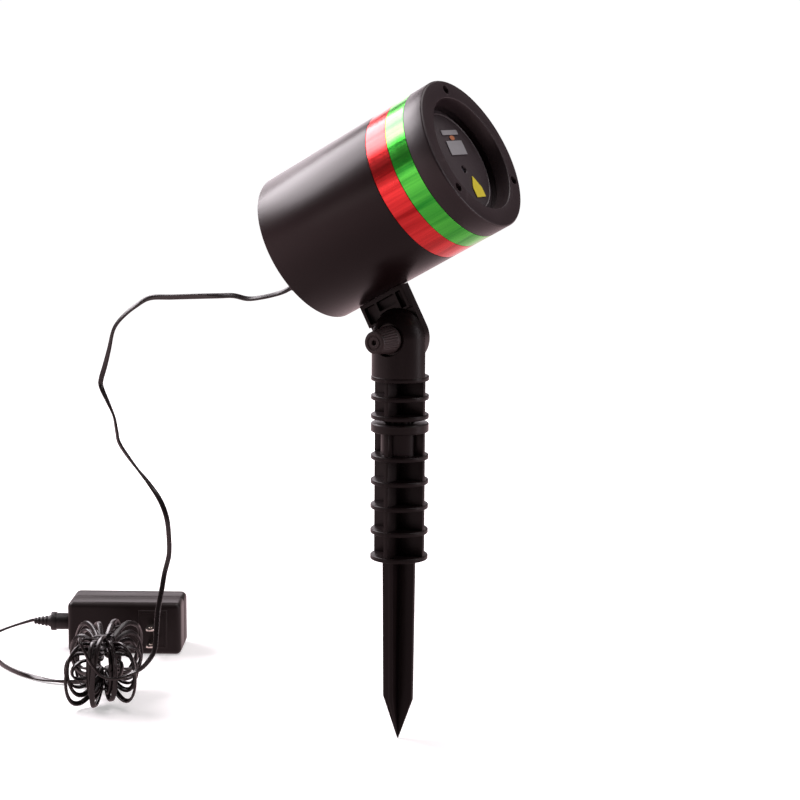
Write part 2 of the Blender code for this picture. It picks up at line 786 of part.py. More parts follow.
def make_optics(plate_back):
    """The heat sink with both laser modules and the mirror that combines their beams."""
    x, y = APERTURE
    length, width, depth = OPTICS_SIZE
    front = plate_back + GAP
    centre = (x, y, -front - depth / 2)
    sink = piece(
        "optics_block",
        block((length, width, depth), centre),
        (ALUMINIUM, 0.35, 1.0),
        CAN,
    )
    bore = MODULE_RADIUS + GAP
    half = MIRROR_CAVITY / 2
    cut(
        sink,
        rod(0.0035, (x, y, -MIRROR_DEPTH - half - 0.0030), (x, y, 0.0)),
        rod(bore, (x, y, -front - depth - 0.0010), (x, y, -MIRROR_DEPTH - half - 0.0020), MEDIUM_SIDES),
        rod(bore, (x + half + 0.0015, y, -MIRROR_DEPTH), (x + length, y, -MIRROR_DEPTH), MEDIUM_SIDES),
        rod(0.0035, (x, y, -MIRROR_DEPTH), (x + half + 0.0030, y, -MIRROR_DEPTH)),
        block(
            (length, MIRROR_CAVITY, MIRROR_CAVITY),
            (x - length / 2 + half, y, -MIRROR_DEPTH),
        ),
    )
    diagonal = MIRROR_CAVITY * math.sqrt(2.0) - MIRROR_THICKNESS - 2 * GAP
    mirror = block(
        (diagonal, MIRROR_CAVITY - 2 * GAP, MIRROR_THICKNESS),
        (x, y, -MIRROR_DEPTH),
        turn=math.radians(-45.0),
    )
    piece("combiner_mirror", mirror, ((0.5, 0.3, 0.6), 0.05, 0.8), CAN)
    start = MIRROR_DEPTH + half + 0.0020 + GAP
    green = turned(
        [
            (0.0, -start),
            (MODULE_RADIUS, -start),
            (MODULE_RADIUS, -start - MODULE_LENGTH),
            (0.0030, -start - MODULE_LENGTH),
            (0.0030, -start - MODULE_LENGTH - 0.0040),
            (0.0, -start - MODULE_LENGTH - 0.0040),
        ],
        MEDIUM_SIDES,
        (x, y, 0.0),
    )
    piece("green_laser_module", green, (BRASS, 0.3, 1.0), CAN)
    start = x + half + 0.0015 + GAP
    red = turned(
        [
            (0.0, -start),
            (MODULE_RADIUS, -start),
            (MODULE_RADIUS, -start - RED_MODULE_LENGTH),
            (0.0030, -start - RED_MODULE_LENGTH),
            (0.0030, -start - RED_MODULE_LENGTH - 0.0030),
            (0.0, -start - RED_MODULE_LENGTH - 0.0030),
        ],
        MEDIUM_SIDES,
        (0.0, y, -MIRROR_DEPTH),
        "-X",
    )
    piece("red_laser_module", red, (BRASS, 0.3, 1.0), CAN)


def make_board():
    top = -BOARD_DEPTH
    bottom = top - BOARD_THICKNESS
    board = piece(
        "driver_board",
        rod(BOARD_RADIUS, (0, 0, bottom), (0, 0, top), ROUND_SIDES),
        ((0.02, 0.18, 0.08), 0.4, 0.0),
        CAN,
    )
    join(
        board,
        rod(0.0040, (0.012, -0.018, top - 0.0005), (0.012, -0.018, top + 0.0100)),
        rod(0.0040, (0.022, -0.008, top - 0.0005), (0.022, -0.008, top + 0.0100)),
        block((0.0120, 0.0120, 0.0060), (-0.020, 0.012, top + 0.0025)),
        block((0.0100, 0.0060, 0.0020), (0.000, 0.020, top + 0.0005)),
    )
    for number, angle in enumerate(REAR_ANGLES, 1):
        x, y = polar(BOARD_SCREW_CIRCLE, angle)
        cut(board, rod(SCREW_RADIUS + SCREW_CLEARANCE, (x, y, bottom - 0.01), (x, y, top + 0.01)))
        head = top + GAP
        screw = turned(
            [
                (0.0, head + 0.0014),
                (0.0024, head + 0.0012),
                (0.0024, head),
                (SCREW_RADIUS, head),
                (SCREW_RADIUS, bottom - 0.0080),
                (0.0, bottom - 0.0090),
            ],
            SMALL_SIDES,
            (x, y, 0.0),
        )
        piece(f"board_screw_{number}", screw, METAL, CAN)


def make_rear():
    """The rear cover with its seal, screws, cord gland and push switch."""
    outside = COVER_RECESS - CAN_LENGTH
    inside = outside + COVER_THICKNESS
    outer = CAN_RADIUS - CAN_WALL - GAP
    cover = piece(
        "rear_cover",
        rod(outer, (0, 0, outside), (0, 0, inside), ROUND_SIDES),
        PLASTIC,
        CAN,
    )
    low = inside + GAP
    gasket_inner = REAR_SCREW_CIRCLE + SCREW_RADIUS + 0.0012
    seal = [
        (outer, low + GASKET_THICKNESS),
        (outer, low),
        (gasket_inner, low),
        (gasket_inner, low + GASKET_THICKNESS),
    ]
    piece("rear_gasket", turned(seal), SOFT, CAN)
    for number, angle in enumerate(REAR_ANGLES, 1):
        x, y = polar(REAR_SCREW_CIRCLE, angle)
        bore = SCREW_RADIUS + SCREW_CLEARANCE
        cut(cover, rod(bore, (x, y, outside - 0.0010), (x, y, inside + 0.0010)))
        head = outside - GAP
        screw = turned(
            [
                (0.0, inside + 0.0100),
                (SCREW_RADIUS, inside + 0.0090),
                (SCREW_RADIUS, head),
                (REAR_SCREW_HEAD, head),
                (REAR_SCREW_HEAD, head - 0.0010),
                (0.0, head - 0.0016),
            ],
            SMALL_SIDES,
            (x, y, 0.0),
        )
        piece(f"rear_screw_{number}", screw, METAL, CAN)
    gx, gy = GLAND_PLACE
    neck = GLAND_NECK_RADIUS
    cut(cover, rod(neck + GAP, (gx, gy, outside - 0.0010), (gx, gy, inside + 0.0010)))
    shoulder = outside - GAP
    rim = shoulder - 0.0015
    boot = [
        (0.0, inside + 0.0052),
        (neck, inside + 0.0052),
        (neck, shoulder),
        (GLAND_FLANGE_RADIUS, shoulder),
        (GLAND_FLANGE_RADIUS, rim),
        (0.0044, rim),
    ]
    rings = 3
    pitch = (GLAND_BOOT_LENGTH - 0.0040) / rings
    for k in range(rings):
        start = rim - 0.0020 - k * pitch
        radius = 0.0042 - 0.0006 * k
        boot += [(radius, start), (radius - 0.0009, start - 0.0005)]
        boot += [(radius - 0.0009, start - 0.0015), (radius - 0.0004, start - 0.0020)]
    boot += [(0.0023, rim - GLAND_BOOT_LENGTH), (0.0, rim - GLAND_BOOT_LENGTH)]
    piece("cord_gland", turned(boot, SMALL_SIDES, (gx, gy, 0.0)), SOFT, CAN)
    low, high = inside + GAP, inside + GLAND_NUT[1]
    nut = piece("gland_nut", hexagon(GLAND_NUT[0], (gx, gy, low), (gx, gy, high)), PLASTIC, CAN)
    cut(nut, rod(neck + GAP, (gx, gy, low - 0.0010), (gx, gy, high + 0.0010)))
    sx, sy = SWITCH_PLACE
    bush = SWITCH_BUSH_RADIUS
    cut(cover, rod(bush + GAP, (sx, sy, outside - 0.001), (sx, sy, inside + 0.001), MEDIUM_SIDES))
    bush_end = outside - 0.0026
    button_floor = inside + 0.0050
    bore = BUTTON_RADIUS + GAP
    switch = [
        (0.0, inside + SWITCH_BODY_LENGTH),
        (SWITCH_BODY_RADIUS, inside + SWITCH_BODY_LENGTH),
        (SWITCH_BODY_RADIUS, inside + GAP),
        (bush, inside + GAP),
        (bush, bush_end),
        (bore, bush_end),
        (bore, button_floor),
        (0.0, button_floor),
    ]
    piece("switch_body", turned(switch, MEDIUM_SIDES, (sx, sy, 0.0)), PLASTIC, CAN)
    low, high = outside - SWITCH_NUT[1], outside - GAP
    nut = piece("switch_nut", hexagon(SWITCH_NUT[0], (sx, sy, low), (sx, sy, high)), METAL, CAN)
    cut(nut, rod(bush + GAP, (sx, sy, low - 0.001), (sx, sy, high + 0.001), MEDIUM_SIDES))
    button_axis = empty("button_axis", (sx, sy, 0.0), CAN)
    top = button_floor - GAP - BUTTON_TRAVEL
    end = bush_end - BUTTON_PROUD
    button = [
        (0.0, top),
        (BUTTON_RADIUS, top),
        (BUTTON_RADIUS, end + 0.0008),
        (BUTTON_RADIUS - 0.0008, end),
        (0.0, end),
    ]
    piece("power_button", turned(button, MEDIUM_SIDES), ((0.03, 0.03, 0.03), 0.4, 0.0), button_axis)
    return rim - GLAND_BOOT_LENGTH


def make_arm():
    """The leg under the can: a foot shaped to the can, a ribbed plate and the serrated cheek."""
    hinge_x = HINGE_DROP
    hinge_z = -ARM_BACK
    half = ARM_HALF_WIDTH
    outline = [(CAN_RADIUS - 0.0010, hinge_z - half)]
    outline += arc((hinge_x, hinge_z), half, -90.0, 90.0, ARC_STEPS)
    outline += [(CAN_RADIUS - 0.0010, hinge_z + half)]
    arm = piece("arm", slab(outline, ARM_NEAR, ARM_FAR), PLASTIC, CAN)
    hinge = Matrix.Translation((hinge_x, 0.0, hinge_z))
    join(arm, rod(HUB_RADIUS, (hinge_x, ARM_FAR - 0.0010, hinge_z), (hinge_x, HUB_FAR, hinge_z), 32))
    cut(arm, rod(CAN_RADIUS + GAP, (0, 0, hinge_z - 0.05), (0, 0, hinge_z + 0.05), ROUND_SIDES))
    pocket = hexagon(
        NUT_FLATS + 2 * GAP,
        (hinge_x, NUT_POCKET_FLOOR, hinge_z),
        (hinge_x, HUB_FAR + 0.0010, hinge_z),
    )
    bore = BOLT_RADIUS + GAP
    recess = serrated(RECESS_RADIUS, MATE_GAP + TOOTH_HEIGHT, ARM_NEAR - 0.0030)
    recess.transform(hinge)
    # beside the teeth the near face stays clear of the post as far as the arm swings
    low = ARM_NEAR - 0.0010
    high = MATE_GAP + TOOTH_HEIGHT
    clear = block(
        (RECESS_REACH + half + 0.0010, high - low, 2 * half + 0.0020),
        (hinge_x + (half + 0.0010 - RECESS_REACH) / 2, (low + high) / 2, hinge_z),
    )
    shape(arm, clear, "DIFFERENCE")
    cut(
        arm,
        pocket,
        rod(bore, (hinge_x, -0.0100, hinge_z), (hinge_x, HUB_FAR, hinge_z)),
        recess,
    )
    # three pockets in the near face leave the two thin ribs between them
    top = CAN_RADIUS + ARM_FOOT
    edges = [-half + ARM_RIM]
    for place in RIB_PLACES:
        edges += [place - RIB_WIDTH / 2, place + RIB_WIDTH / 2]
    edges.append(half - ARM_RIM)
    for low, high in zip(edges[0::2], edges[1::2]):
        reach = max(abs(low), abs(high))
        bottom = hinge_x - math.sqrt((RECESS_RADIUS + ARM_RIM / 2) ** 2 - min(reach, 0.0168) ** 2)
        bottom = min(bottom, hinge_x - RECESS_REACH - ARM_RIM / 2)
        if low < 0.0 < high:
            bottom = hinge_x - RECESS_RADIUS - ARM_RIM / 2
        cut(
            arm,
            block(
                (bottom - top, 2 * POCKET_DEPTH, high - low),
                ((bottom + top) / 2, ARM_NEAR, hinge_z + (low + high) / 2),
            ),
        )
    for number, offset in enumerate((-ARM_SCREW_OFFSET, ARM_SCREW_OFFSET), 1):
        z = hinge_z + offset
        end = CAN_RADIUS + ARM_SCREW_LENGTH
        cut(
            arm,
            rod(
                SCREW_RADIUS + SCREW_CLEARANCE,
                (CAN_RADIUS - 0.0010, ARM_SCREW_Y, z),
                (end + GAP, ARM_SCREW_Y, z),
            ),
        )
        head = CAN_RADIUS - CAN_WALL - 3 * GAP
        screw = turned(
            [
                (0.0, 0.0014 - head),
                (SCREW_HEAD_RADIUS, 0.0012 - head),
                (SCREW_HEAD_RADIUS, -head),
                (SCREW_RADIUS, -head),
                (SCREW_RADIUS, 0.0010 - end),
                (0.0, -end),
            ],
            SMALL_SIDES,
            (0.0, ARM_SCREW_Y, z),
            "-X",
        )
        piece(f"arm_screw_{number}", screw, METAL, CAN)
    low = NUT_POCKET_FLOOR + GAP
    high = low + NUT_THICKNESS
    prism = hexagon(NUT_FLATS, (hinge_x, low, hinge_z), (hinge_x, high, hinge_z))
    nut = piece("clamp_nut", prism, METAL, CAN)
    cut(nut, rod(bore, (hinge_x, low - 0.0010, hinge_z), (hinge_x, high + 0.0010, hinge_z)))


def make_clamp():
    """The hand knob, its stud and the washer, which travels with the knob but doesn't turn."""
    base = SPOT_FACE + GAP
    ring = [
        (WASHER_RADIUS, base + WASHER_THICKNESS),
        (WASHER_RADIUS, base),
        (BOLT_RADIUS + GAP, base),
        (BOLT_RADIUS + GAP, base + WASHER_THICKNESS),
    ]
    piece("knob_washer", turned(ring, MEDIUM_SIDES, (0, 0, 0), "-Y"), METAL, CLAMP)
    low = base + WASHER_THICKNESS + GAP
    front = KNOB_FRONT
    bore = BOLT_RADIUS + GAP
    bolt_end = front - 0.0060
    knob = [
        (0.0, front - 0.0010),
        (0.0030, front - 0.0010),
        (0.0034, front),
        (KNOB_NOSE_RADIUS - 0.0016, front),
        (KNOB_NOSE_RADIUS, front - 0.0022),
        (KNOB_BASE_RADIUS - 0.0004, low + 0.0040),
        (KNOB_BASE_RADIUS, low + 0.0030),
        (KNOB_BASE_RADIUS, low),
        (bore, low),
        (bore, bolt_end + GAP),
        (0.0, bolt_end + GAP),
    ]
    piece("knob", turned(knob, 24, (0, 0, 0), "-Y"), PLASTIC, CLAMP)
    bolt = rod(BOLT_RADIUS, (0, -bolt_end, 0), (0, HUB_FAR - 0.0005, 0))
    piece("clamp_bolt", bolt, METAL, CLAMP)


def flange(height, thickness=DISC_THICKNESS):
    """A round flange of the stake."""
    half = thickness / 2
    return rod(DISC_RADIUS, (0, 0, height - half), (0, 0, height + half), DISC_SIDES)


def make_post():
    """The upper piece of the stake: a serrated half knuckle on three flanges and a splined peg."""
    knuckle = arc((0.0, HINGE_HEIGHT), POST_RADIUS, 90.0, 0.0, DOME_STEPS)
    knuckle[0] = (0.0, HINGE_HEIGHT + POST_RADIUS)
    knuckle += [(POST_RADIUS, POST_BOTTOM), (0.0, POST_BOTTOM)]
    post = piece("neck_post", turned(knuckle), PLASTIC)
    wide = 2 * POST_RADIUS
    height = HINGE_HEIGHT + 2 * POST_RADIUS - POST_BOTTOM
    cut(
        post,
        block(
            (2 * wide, wide, height),
            (0.0, wide / 2 - MATE_GAP + 0.0001, POST_BOTTOM - 0.001 + height / 2),
        ),
    )
    high = NECK_DISCS[0]
    low = NECK_DISCS[-1]
    for height in NECK_DISCS:
        join(post, flange(height))
    wide = 2 * BLADE_RADIUS
    thick = BLADE_THICKNESS
    blade_centre = (0, 0, (high + low) / 2)
    join(
        post,
        block((wide, thick, high - low), blade_centre),
        block((thick, wide, high - low), blade_centre),
        splined(PEG_RADIUS, PEG_SPLINE_DEPTH, PEG_SPLINES, PEG_BOTTOM, low),
    )
    teeth = serrated(POST_RADIUS + 0.0004, -MATE_GAP - TOOTH_HEIGHT, 0.0030)
    teeth.transform(Matrix.Translation((0, 0, HINGE_HEIGHT)))
    cut(
        post,
        teeth,
        rod(SPOT_RADIUS, (0, -0.03, HINGE_HEIGHT), (0, -SPOT_FACE, HINGE_HEIGHT), 32),
        rod(BOLT_RADIUS + GAP, (0, -0.03, HINGE_HEIGHT), (0, 0.01, HINGE_HEIGHT)),
    )


def make_stake():
    """The lower piece: a socketed collar, crossed blades with five flanges, and the spike."""
    blades_top = (COLLAR_BOTTOM + COLLAR_TOP) / 2
    bottom = STAKE_DISCS[-1]
    thick = BLADE_THICKNESS
    wide = 2 * BLADE_RADIUS + 0.001
    centre = (0, 0, blades_top / 2)
    stake = piece("stake", block((wide, thick, blades_top), centre), PLASTIC)
    join(stake, block((thick, wide, blades_top), centre))
    outline = [
        (0.0, blades_top),
        (BLADE_RADIUS, blades_top),
        (BLADE_RADIUS, bottom),
        (SPIKE_TOP_RADIUS, bottom),
        (SPIKE_LOW_RADIUS, SPIKE_TAPER),
        (TIP_RADIUS, 0.0),
        (0.0, 0.0),
    ]
    envelope = turned(outline, 32)
    envelope.transform(Matrix.Rotation(math.pi / 32, 4, "Z"))
    shape(stake, envelope, "INTERSECT")
    for height in STAKE_DISCS:
        join(stake, flange(height))
    bore = PEG_RADIUS + GAP
    join(
        stake,
        flange(blades_top, COLLAR_TOP - COLLAR_BOTTOM),
        rod(bore + SOCKET_WALL, (0, 0, STAKE_DISCS[0]), (0, 0, blades_top), 32),
    )
    cut(stake, rod(bore, (0, 0, PEG_BOTTOM - GAP), (0, 0, COLLAR_TOP + 0.01), 28))


def hank_path(turn):
    """A place on the hank's line after that many turns, in its own frame: forward, right, up."""
    per_layer = LOOPS_A_LAYER
    wave = turn % (2 * per_layer)
    nest = per_layer - wave if wave < per_layer else wave - per_layer
    angle = HANK_START - math.tau * turn
    layer = 0.0
    for k in range(1, LAYERS):
        share = (turn - k * per_layer) / (2 * CLIMB_TURNS) + 0.5
        share = min(1.0, max(0.0, share))
        layer += share * share * (3 - 2 * share)
    waist = WAIST_INNER + WAIST_STEP * nest
    spread = SPREAD_INNER + SPREAD_STEP * nest
    bulge = math.sin(angle) ** 2
    forward = (RUN_INNER + RUN_STEP * nest) * math.sin(angle)
    up = math.cos(angle) * (waist + (spread - waist) * bulge)
    right = (layer - (LAYERS - 1) / 2) * LAYER_STEP * (1 + LAYER_FAN * bulge)
    return forward, right, up


def hank_places(turns):
    """World places on the hank's line."""
    c, s = math.cos(HANK_HEADING), math.sin(HANK_HEADING)
    local = np.array([hank_path(t) for t in turns])
    x = HANK_CENTRE[0] + local[:, 0] * c - local[:, 1] * s
    y = HANK_CENTRE[1] + local[:, 0] * s + local[:, 1] * c
    return np.stack([x, y, HANK_CENTRE[2] + local[:, 2]], 1)


def straight_end(points, diameter):
    """Makes the first stretch run straight for one diameter."""
    along = points[1] - points[0]
    first = points[0] + along / np.linalg.norm(along) * diameter
    return np.vstack([points[:1], first[None], points[1:]])


def least_gap(points, diameter):
    """The least clear distance of a tube to itself, measured on points along its line."""
    steps = np.linspace(0.0, 1.0, 6, endpoint=False)
    dense = np.concatenate([a + (b - a) * steps[:, None] for a, b in zip(points, points[1:])])
    run = np.concatenate([[0.0], np.cumsum(np.linalg.norm(np.diff(dense, axis=0), axis=1))])
    least = 1.0
    for k in range(len(dense)):
        far = np.abs(run - run[k]) > 4 * diameter
        if far.any():
            least = min(least, float(np.linalg.norm(dense[far] - dense[k], axis=1).min()))
    return least - diameter


def make_hank():
    count = round(HANK_TURNS * POINTS_A_LOOP)
    points = hank_places([HANK_TURNS * k / count for k in range(count + 1)])
    print("hank length", round(length_of(points), 4), "lowest", round(points[:, 2].min(), 4))
    print("hank least gap to itself, mm:", round(1000 * least_gap(points, CORD_DIAMETER), 2))
    print("hank starts", points[0].round(4), "and ends", points[-1].round(4))
    points = straight_end(points, CORD_DIAMETER)
    points = straight_end(points[::-1], CORD_DIAMETER)[::-1]
    tube("cord_hank", points, CORD_DIAMETER, SOFT, HANK_SIDES_RESOLUTION)
    # the tie is a flattened ring round the waist
    side = (LAYERS - 1) / 2 * LAYER_STEP
    tall = WAIST_INNER + WAIST_STEP * LOOPS_A_LAYER
    ring = []
    for grow in (TIE_THICKNESS, 0.0):
        r = CORD_DIAMETER / 2 + TIE_CLEARANCE + grow
        corners = ((side, tall, 0.0), (-side, tall, 90.0), (-side, -tall, 180.0), (side, -tall, 270.0))
        outline = [p for x, z, a in corners for p in arc((x, z), r, a, a + 90.0, CORNER_STEPS)]
        ring.append(slab(outline, -TIE_WIDTH / 2, TIE_WIDTH / 2))
    place = Matrix.Translation(HANK_CENTRE) @ Matrix.Rotation(
        HANK_HEADING + math.radians(90.0), 4, "Z"
    )
    ring[0].transform(place)
    tie = piece("cord_tie", ring[0], SOFT)
    hole = ring[1]
    hole.transform(Matrix.Diagonal((1.0, 2.0, 1.0, 1.0)))
    hole.transform(place)
    cut(tie, hole)
    return points


def make_adapter():
    """The plug-in supply: two half shells, prongs, board, transformer and strain relief."""
    length, depth, height = ADAPTER_SIZE
    half = (depth - GAP) / 2
    wall = ADAPTER_WALL
    finish = (BLACK, 0.35, 0.0)
    hole_x = -length / 2
    middle = height / 2
    for name, side in (("adapter_case_front", -1.0), ("adapter_case_back", 1.0)):
        centre = side * (GAP / 2 + half / 2)
        bm = bmesh.new()
        bmesh.ops.create_cube(bm, size=1.0)
        bmesh.ops.scale(bm, vec=(length, half, height), verts=bm.verts)
        outer_edges = [
            e for e in bm.edges if max(side * v.co.y for v in e.verts) > 0.0
        ]
        bmesh.ops.bevel(
            bm, geom=outer_edges, offset=ADAPTER_ROUND, segments=2, profile=0.5, affect="EDGES"
        )
        bmesh.ops.translate(bm, verts=bm.verts, vec=(0, centre, middle))
        case = piece(name, finished(bm, name), finish, ADAPTER)
        inner = (length - 2 * wall, half - wall + 0.0010, height - 2 * wall)
        cut(
            case,
            block(inner, (0, side * (GAP / 2 + (half - wall - 0.0010) / 2), middle)),
            rod(
                RELIEF_NECK_RADIUS + GAP,
                (hole_x - 0.0010, 0, middle),
                (hole_x + 2 * wall, 0, middle),
                MEDIUM_SIDES,
            ),
        )
        if side < 0:
            face = -GAP / 2 - half
            join(case, block(PLUG_PANEL, (PLUG_PLACE, face, middle)))
            for up in (-PRONG_SPACING / 2, PRONG_SPACING / 2):
                slot = (PRONG_SIZE[0] + 2 * GAP, 4 * wall, PRONG_SIZE[2] + 2 * GAP)
                cut(case, block(slot, (PLUG_PLACE, face, middle - PRONG_DROP + up)))
    face = -GAP / 2 - half
    for number, up in enumerate((-PRONG_SPACING / 2, PRONG_SPACING / 2), 1):
        centre = face + PRONG_INSIDE - PRONG_SIZE[1] / 2
        prong = block(PRONG_SIZE, (PLUG_PLACE, centre, middle - PRONG_DROP + up))
        piece(f"adapter_prong_{number}", prong, METAL, ADAPTER)
    outside = length / 2 + GAP
    inside = length / 2 - wall - GAP
    end = outside + RELIEF_BODY_LENGTH + RELIEF_RING_LENGTH + RELIEF_BOOT_LENGTH
    ring = outside + RELIEF_BODY_LENGTH
    relief = [
        (0.0, end),
        (0.0022, end),
        (0.0042, ring + RELIEF_RING_LENGTH),
        (RELIEF_RING_RADIUS, ring + RELIEF_RING_LENGTH),
        (RELIEF_RING_RADIUS, ring),
        (RELIEF_BODY_RADIUS, ring),
        (RELIEF_BODY_RADIUS, outside),
        (RELIEF_NECK_RADIUS, outside),
        (RELIEF_NECK_RADIUS, inside),
        (RELIEF_RING_RADIUS, inside),
        (RELIEF_RING_RADIUS, inside - 0.0016),
        (0.0, inside - 0.0016),
    ]
    boot = turned(relief, MEDIUM_SIDES, (0.0, 0.0, middle), "-X")
    piece("adapter_strain_relief", boot, SOFT, ADAPTER)
    board_x = 0.0080
    long = length - 2 * wall - 2 * board_x
    tall = height - 2 * wall - 2 * GAP
    board = block((long, BOARD_IN_ADAPTER, tall), (board_x - GAP, 0.0, middle))
    piece("adapter_board", board, ((0.45, 0.32, 0.10), 0.5, 0.0), ADAPTER)
    offset = BOARD_IN_ADAPTER / 2 + GAP + TRANSFORMER_SIZE[1] / 2
    core = block(TRANSFORMER_SIZE, (0.0, offset, middle))
    piece("adapter_transformer", core, ((0.08, 0.08, 0.09), 0.5, 0.2), ADAPTER)
    return ADAPTER.matrix_world @ Vector((-end - GAP, 0.0, middle))


def make_cords(boot_depth, hank_points, relief_end):
    """The lead's free stretches: on the head, down to the hank, and on to the adapter."""
    boot = np.array(CAN.matrix_world @ Vector((*GLAND_PLACE, boot_depth - GAP)))
    back = np.array(CAN.matrix_world.to_3x3() @ Vector((0, 0, -1)))
    joint = np.array(JUNCTION)
    across = np.array(DROP_ROUTE[0]) - np.array(LEAD_ROUTE[-1])
    across /= np.linalg.norm(across)
    entering = hank_points[1] - hank_points[0]
    entering /= np.linalg.norm(entering)
    leaving = hank_points[-1] - hank_points[-2]
    leaving /= np.linalg.norm(leaving)
    relief_way = np.array(ADAPTER.matrix_world.to_3x3() @ Vector((1, 0, 0)))
    hank_in = hank_points[0] - entering * GAP
    hank_out = hank_points[-1] + leaving * GAP
    for name, start, way, route, end, end_way in (
        ("cord_lead", boot, back, LEAD_ROUTE, joint - across * GAP, across),
        ("cord_drop", joint, across, DROP_ROUTE, hank_in, entering),
        ("cord_tail", hank_out, leaving, TAIL_ROUTE, np.array(relief_end), relief_way),
    ):
        first = start + way * CORD_DIAMETER
        last = end - end_way * CORD_DIAMETER
        points = np.vstack([start, smooth_route([first, *route, last], CORD_STEP), end])
        print(name, "length", round(length_of(points), 4), "points", len(points))
        tube(name, points, CORD_DIAMETER, SOFT, CORD_SIDES_RESOLUTION)


make_housing()
make_bands()
PLATE_BACK = make_front()
make_labels()
make_optics(PLATE_BACK)
make_board()
BOOT_DEPTH = make_rear()
make_arm()
make_clamp()
make_post()
make_stake()
HANK_POINTS = make_hank()
RELIEF_END = make_adapter()
make_cords(BOOT_DEPTH, HANK_POINTS, RELIEF_END)
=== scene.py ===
"""Outdoor laser light projector: a tilting can on a garden stake, with its lead and supply."""

import math

import bmesh
import bpy
from mathutils import Matrix, Vector, noise


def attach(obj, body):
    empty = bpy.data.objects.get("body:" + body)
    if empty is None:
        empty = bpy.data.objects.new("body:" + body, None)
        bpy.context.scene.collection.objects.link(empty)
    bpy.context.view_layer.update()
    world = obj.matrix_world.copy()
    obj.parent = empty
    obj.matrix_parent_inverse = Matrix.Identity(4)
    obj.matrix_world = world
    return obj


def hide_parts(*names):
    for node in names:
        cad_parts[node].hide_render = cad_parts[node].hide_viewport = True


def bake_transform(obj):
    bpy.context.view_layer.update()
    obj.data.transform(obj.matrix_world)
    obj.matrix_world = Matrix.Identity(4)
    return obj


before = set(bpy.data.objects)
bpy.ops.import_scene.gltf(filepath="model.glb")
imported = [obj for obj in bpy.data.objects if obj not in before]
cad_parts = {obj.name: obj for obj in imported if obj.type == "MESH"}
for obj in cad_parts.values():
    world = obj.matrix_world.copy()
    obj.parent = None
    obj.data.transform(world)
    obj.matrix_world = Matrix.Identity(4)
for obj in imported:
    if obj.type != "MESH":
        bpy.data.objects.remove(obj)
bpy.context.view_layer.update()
scene = bpy.context.scene
scene.view_settings.view_transform = "Standard"

# Camera
# A long lens a little above the can, from the front and the side of the clamp knob, as a
# catalogue picture of such a lamp is taken.
azimuth, elevation, roll = (math.radians(angle) for angle in (29.070, 8.766, 0.390))
level = math.cos(elevation)
backward = Vector((math.sin(azimuth) * level, -math.cos(azimuth) * level, math.sin(elevation)))
across = Vector((math.cos(azimuth), math.sin(azimuth), 0.0))
upright = backward.cross(across)
lens = bpy.data.cameras.new("camera")
lens.lens = 93.42
lens.sensor_width = 36.0
camera = bpy.data.objects.new("camera", lens)
columns = (
    across * math.cos(roll) + upright * math.sin(roll),
    upright * math.cos(roll) - across * math.sin(roll),
    backward,
)
camera.matrix_world = Matrix.Translation((0.63465, -1.14159, 0.42452)) @ Matrix(
    columns
).transposed().to_4x4()
scene.collection.objects.link(camera)
scene.camera = camera

# Studio
# A white sweep on the ground and soft boxes round it: a large one up to the left, a strip to
# the right, one overhead, one behind and a low one. The sweep shows white and takes a shadow.


def feed(tree, node, inputs):
    """Gives each named input of a node a value, or the output that drives it."""
    for socket, value in inputs.items():
        if isinstance(value, bpy.types.NodeSocket):
            tree.links.new(value, node.inputs[socket])
        else:
            node.inputs[socket].default_value = value


def add(tree, kind, inputs=None, **settings):
    """A new shader node with its settings and inputs."""
    node = tree.nodes.new("ShaderNode" + kind)
    for setting, value in settings.items():
        setattr(node, setting, value)
    feed(tree, node, inputs or {})
    return node


def mixed(tree, factor, *pair):
    """A blend of two colours, each given as a triple or as the output that drives it."""
    node = add(tree, "Mix", {"Factor": factor}, data_type="RGBA")
    for socket, colour in zip("AB", pair):
        driven = isinstance(colour, bpy.types.NodeSocket)
        feed(tree, node, {socket: colour if driven else (*colour, 1.0)})
    return node.outputs["Result"]


def ranged(tree, value, low, high, near=0.0, far=1.0):
    """A value carried over from the range near to far into the range low to high."""
    limits = {"From Min": near, "From Max": far, "To Min": low, "To Max": high}
    return add(tree, "MapRange", {**limits, "Value": value}).outputs["Result"]


def worked(tree, operation, *values):
    """The result of one sum."""
    return add(tree, "Math", dict(enumerate(values)), operation=operation).outputs[0]


def blank(name):
    """A new finish and its tree."""
    made = bpy.data.materials.new(name)
    made.use_nodes = True
    return made, made.node_tree


def white_when_seen(tree, shader, seen, mirrored):
    """Adds white to what the lens or a window sees, and a rosy white to what a gloss mirrors."""
    rays = add(tree, "LightPath").outputs
    looked = worked(tree, "MAXIMUM", rays["Is Camera Ray"], rays["Is Transmission Ray"])
    shares = (
        worked(tree, "MULTIPLY", looked, seen),
        worked(tree, "MULTIPLY", rays["Is Glossy Ray"], mirrored),
    )
    white = mixed(tree, rays["Is Glossy Ray"], (1.0, 1.0, 1.0), (1.0, 0.74, 0.77))
    glow = add(tree, "Emission", {"Color": white, "Strength": worked(tree, "ADD", *shares)})
    return add(tree, "AddShader", {0: shader, 1: glow.outputs[0]}).outputs[0]


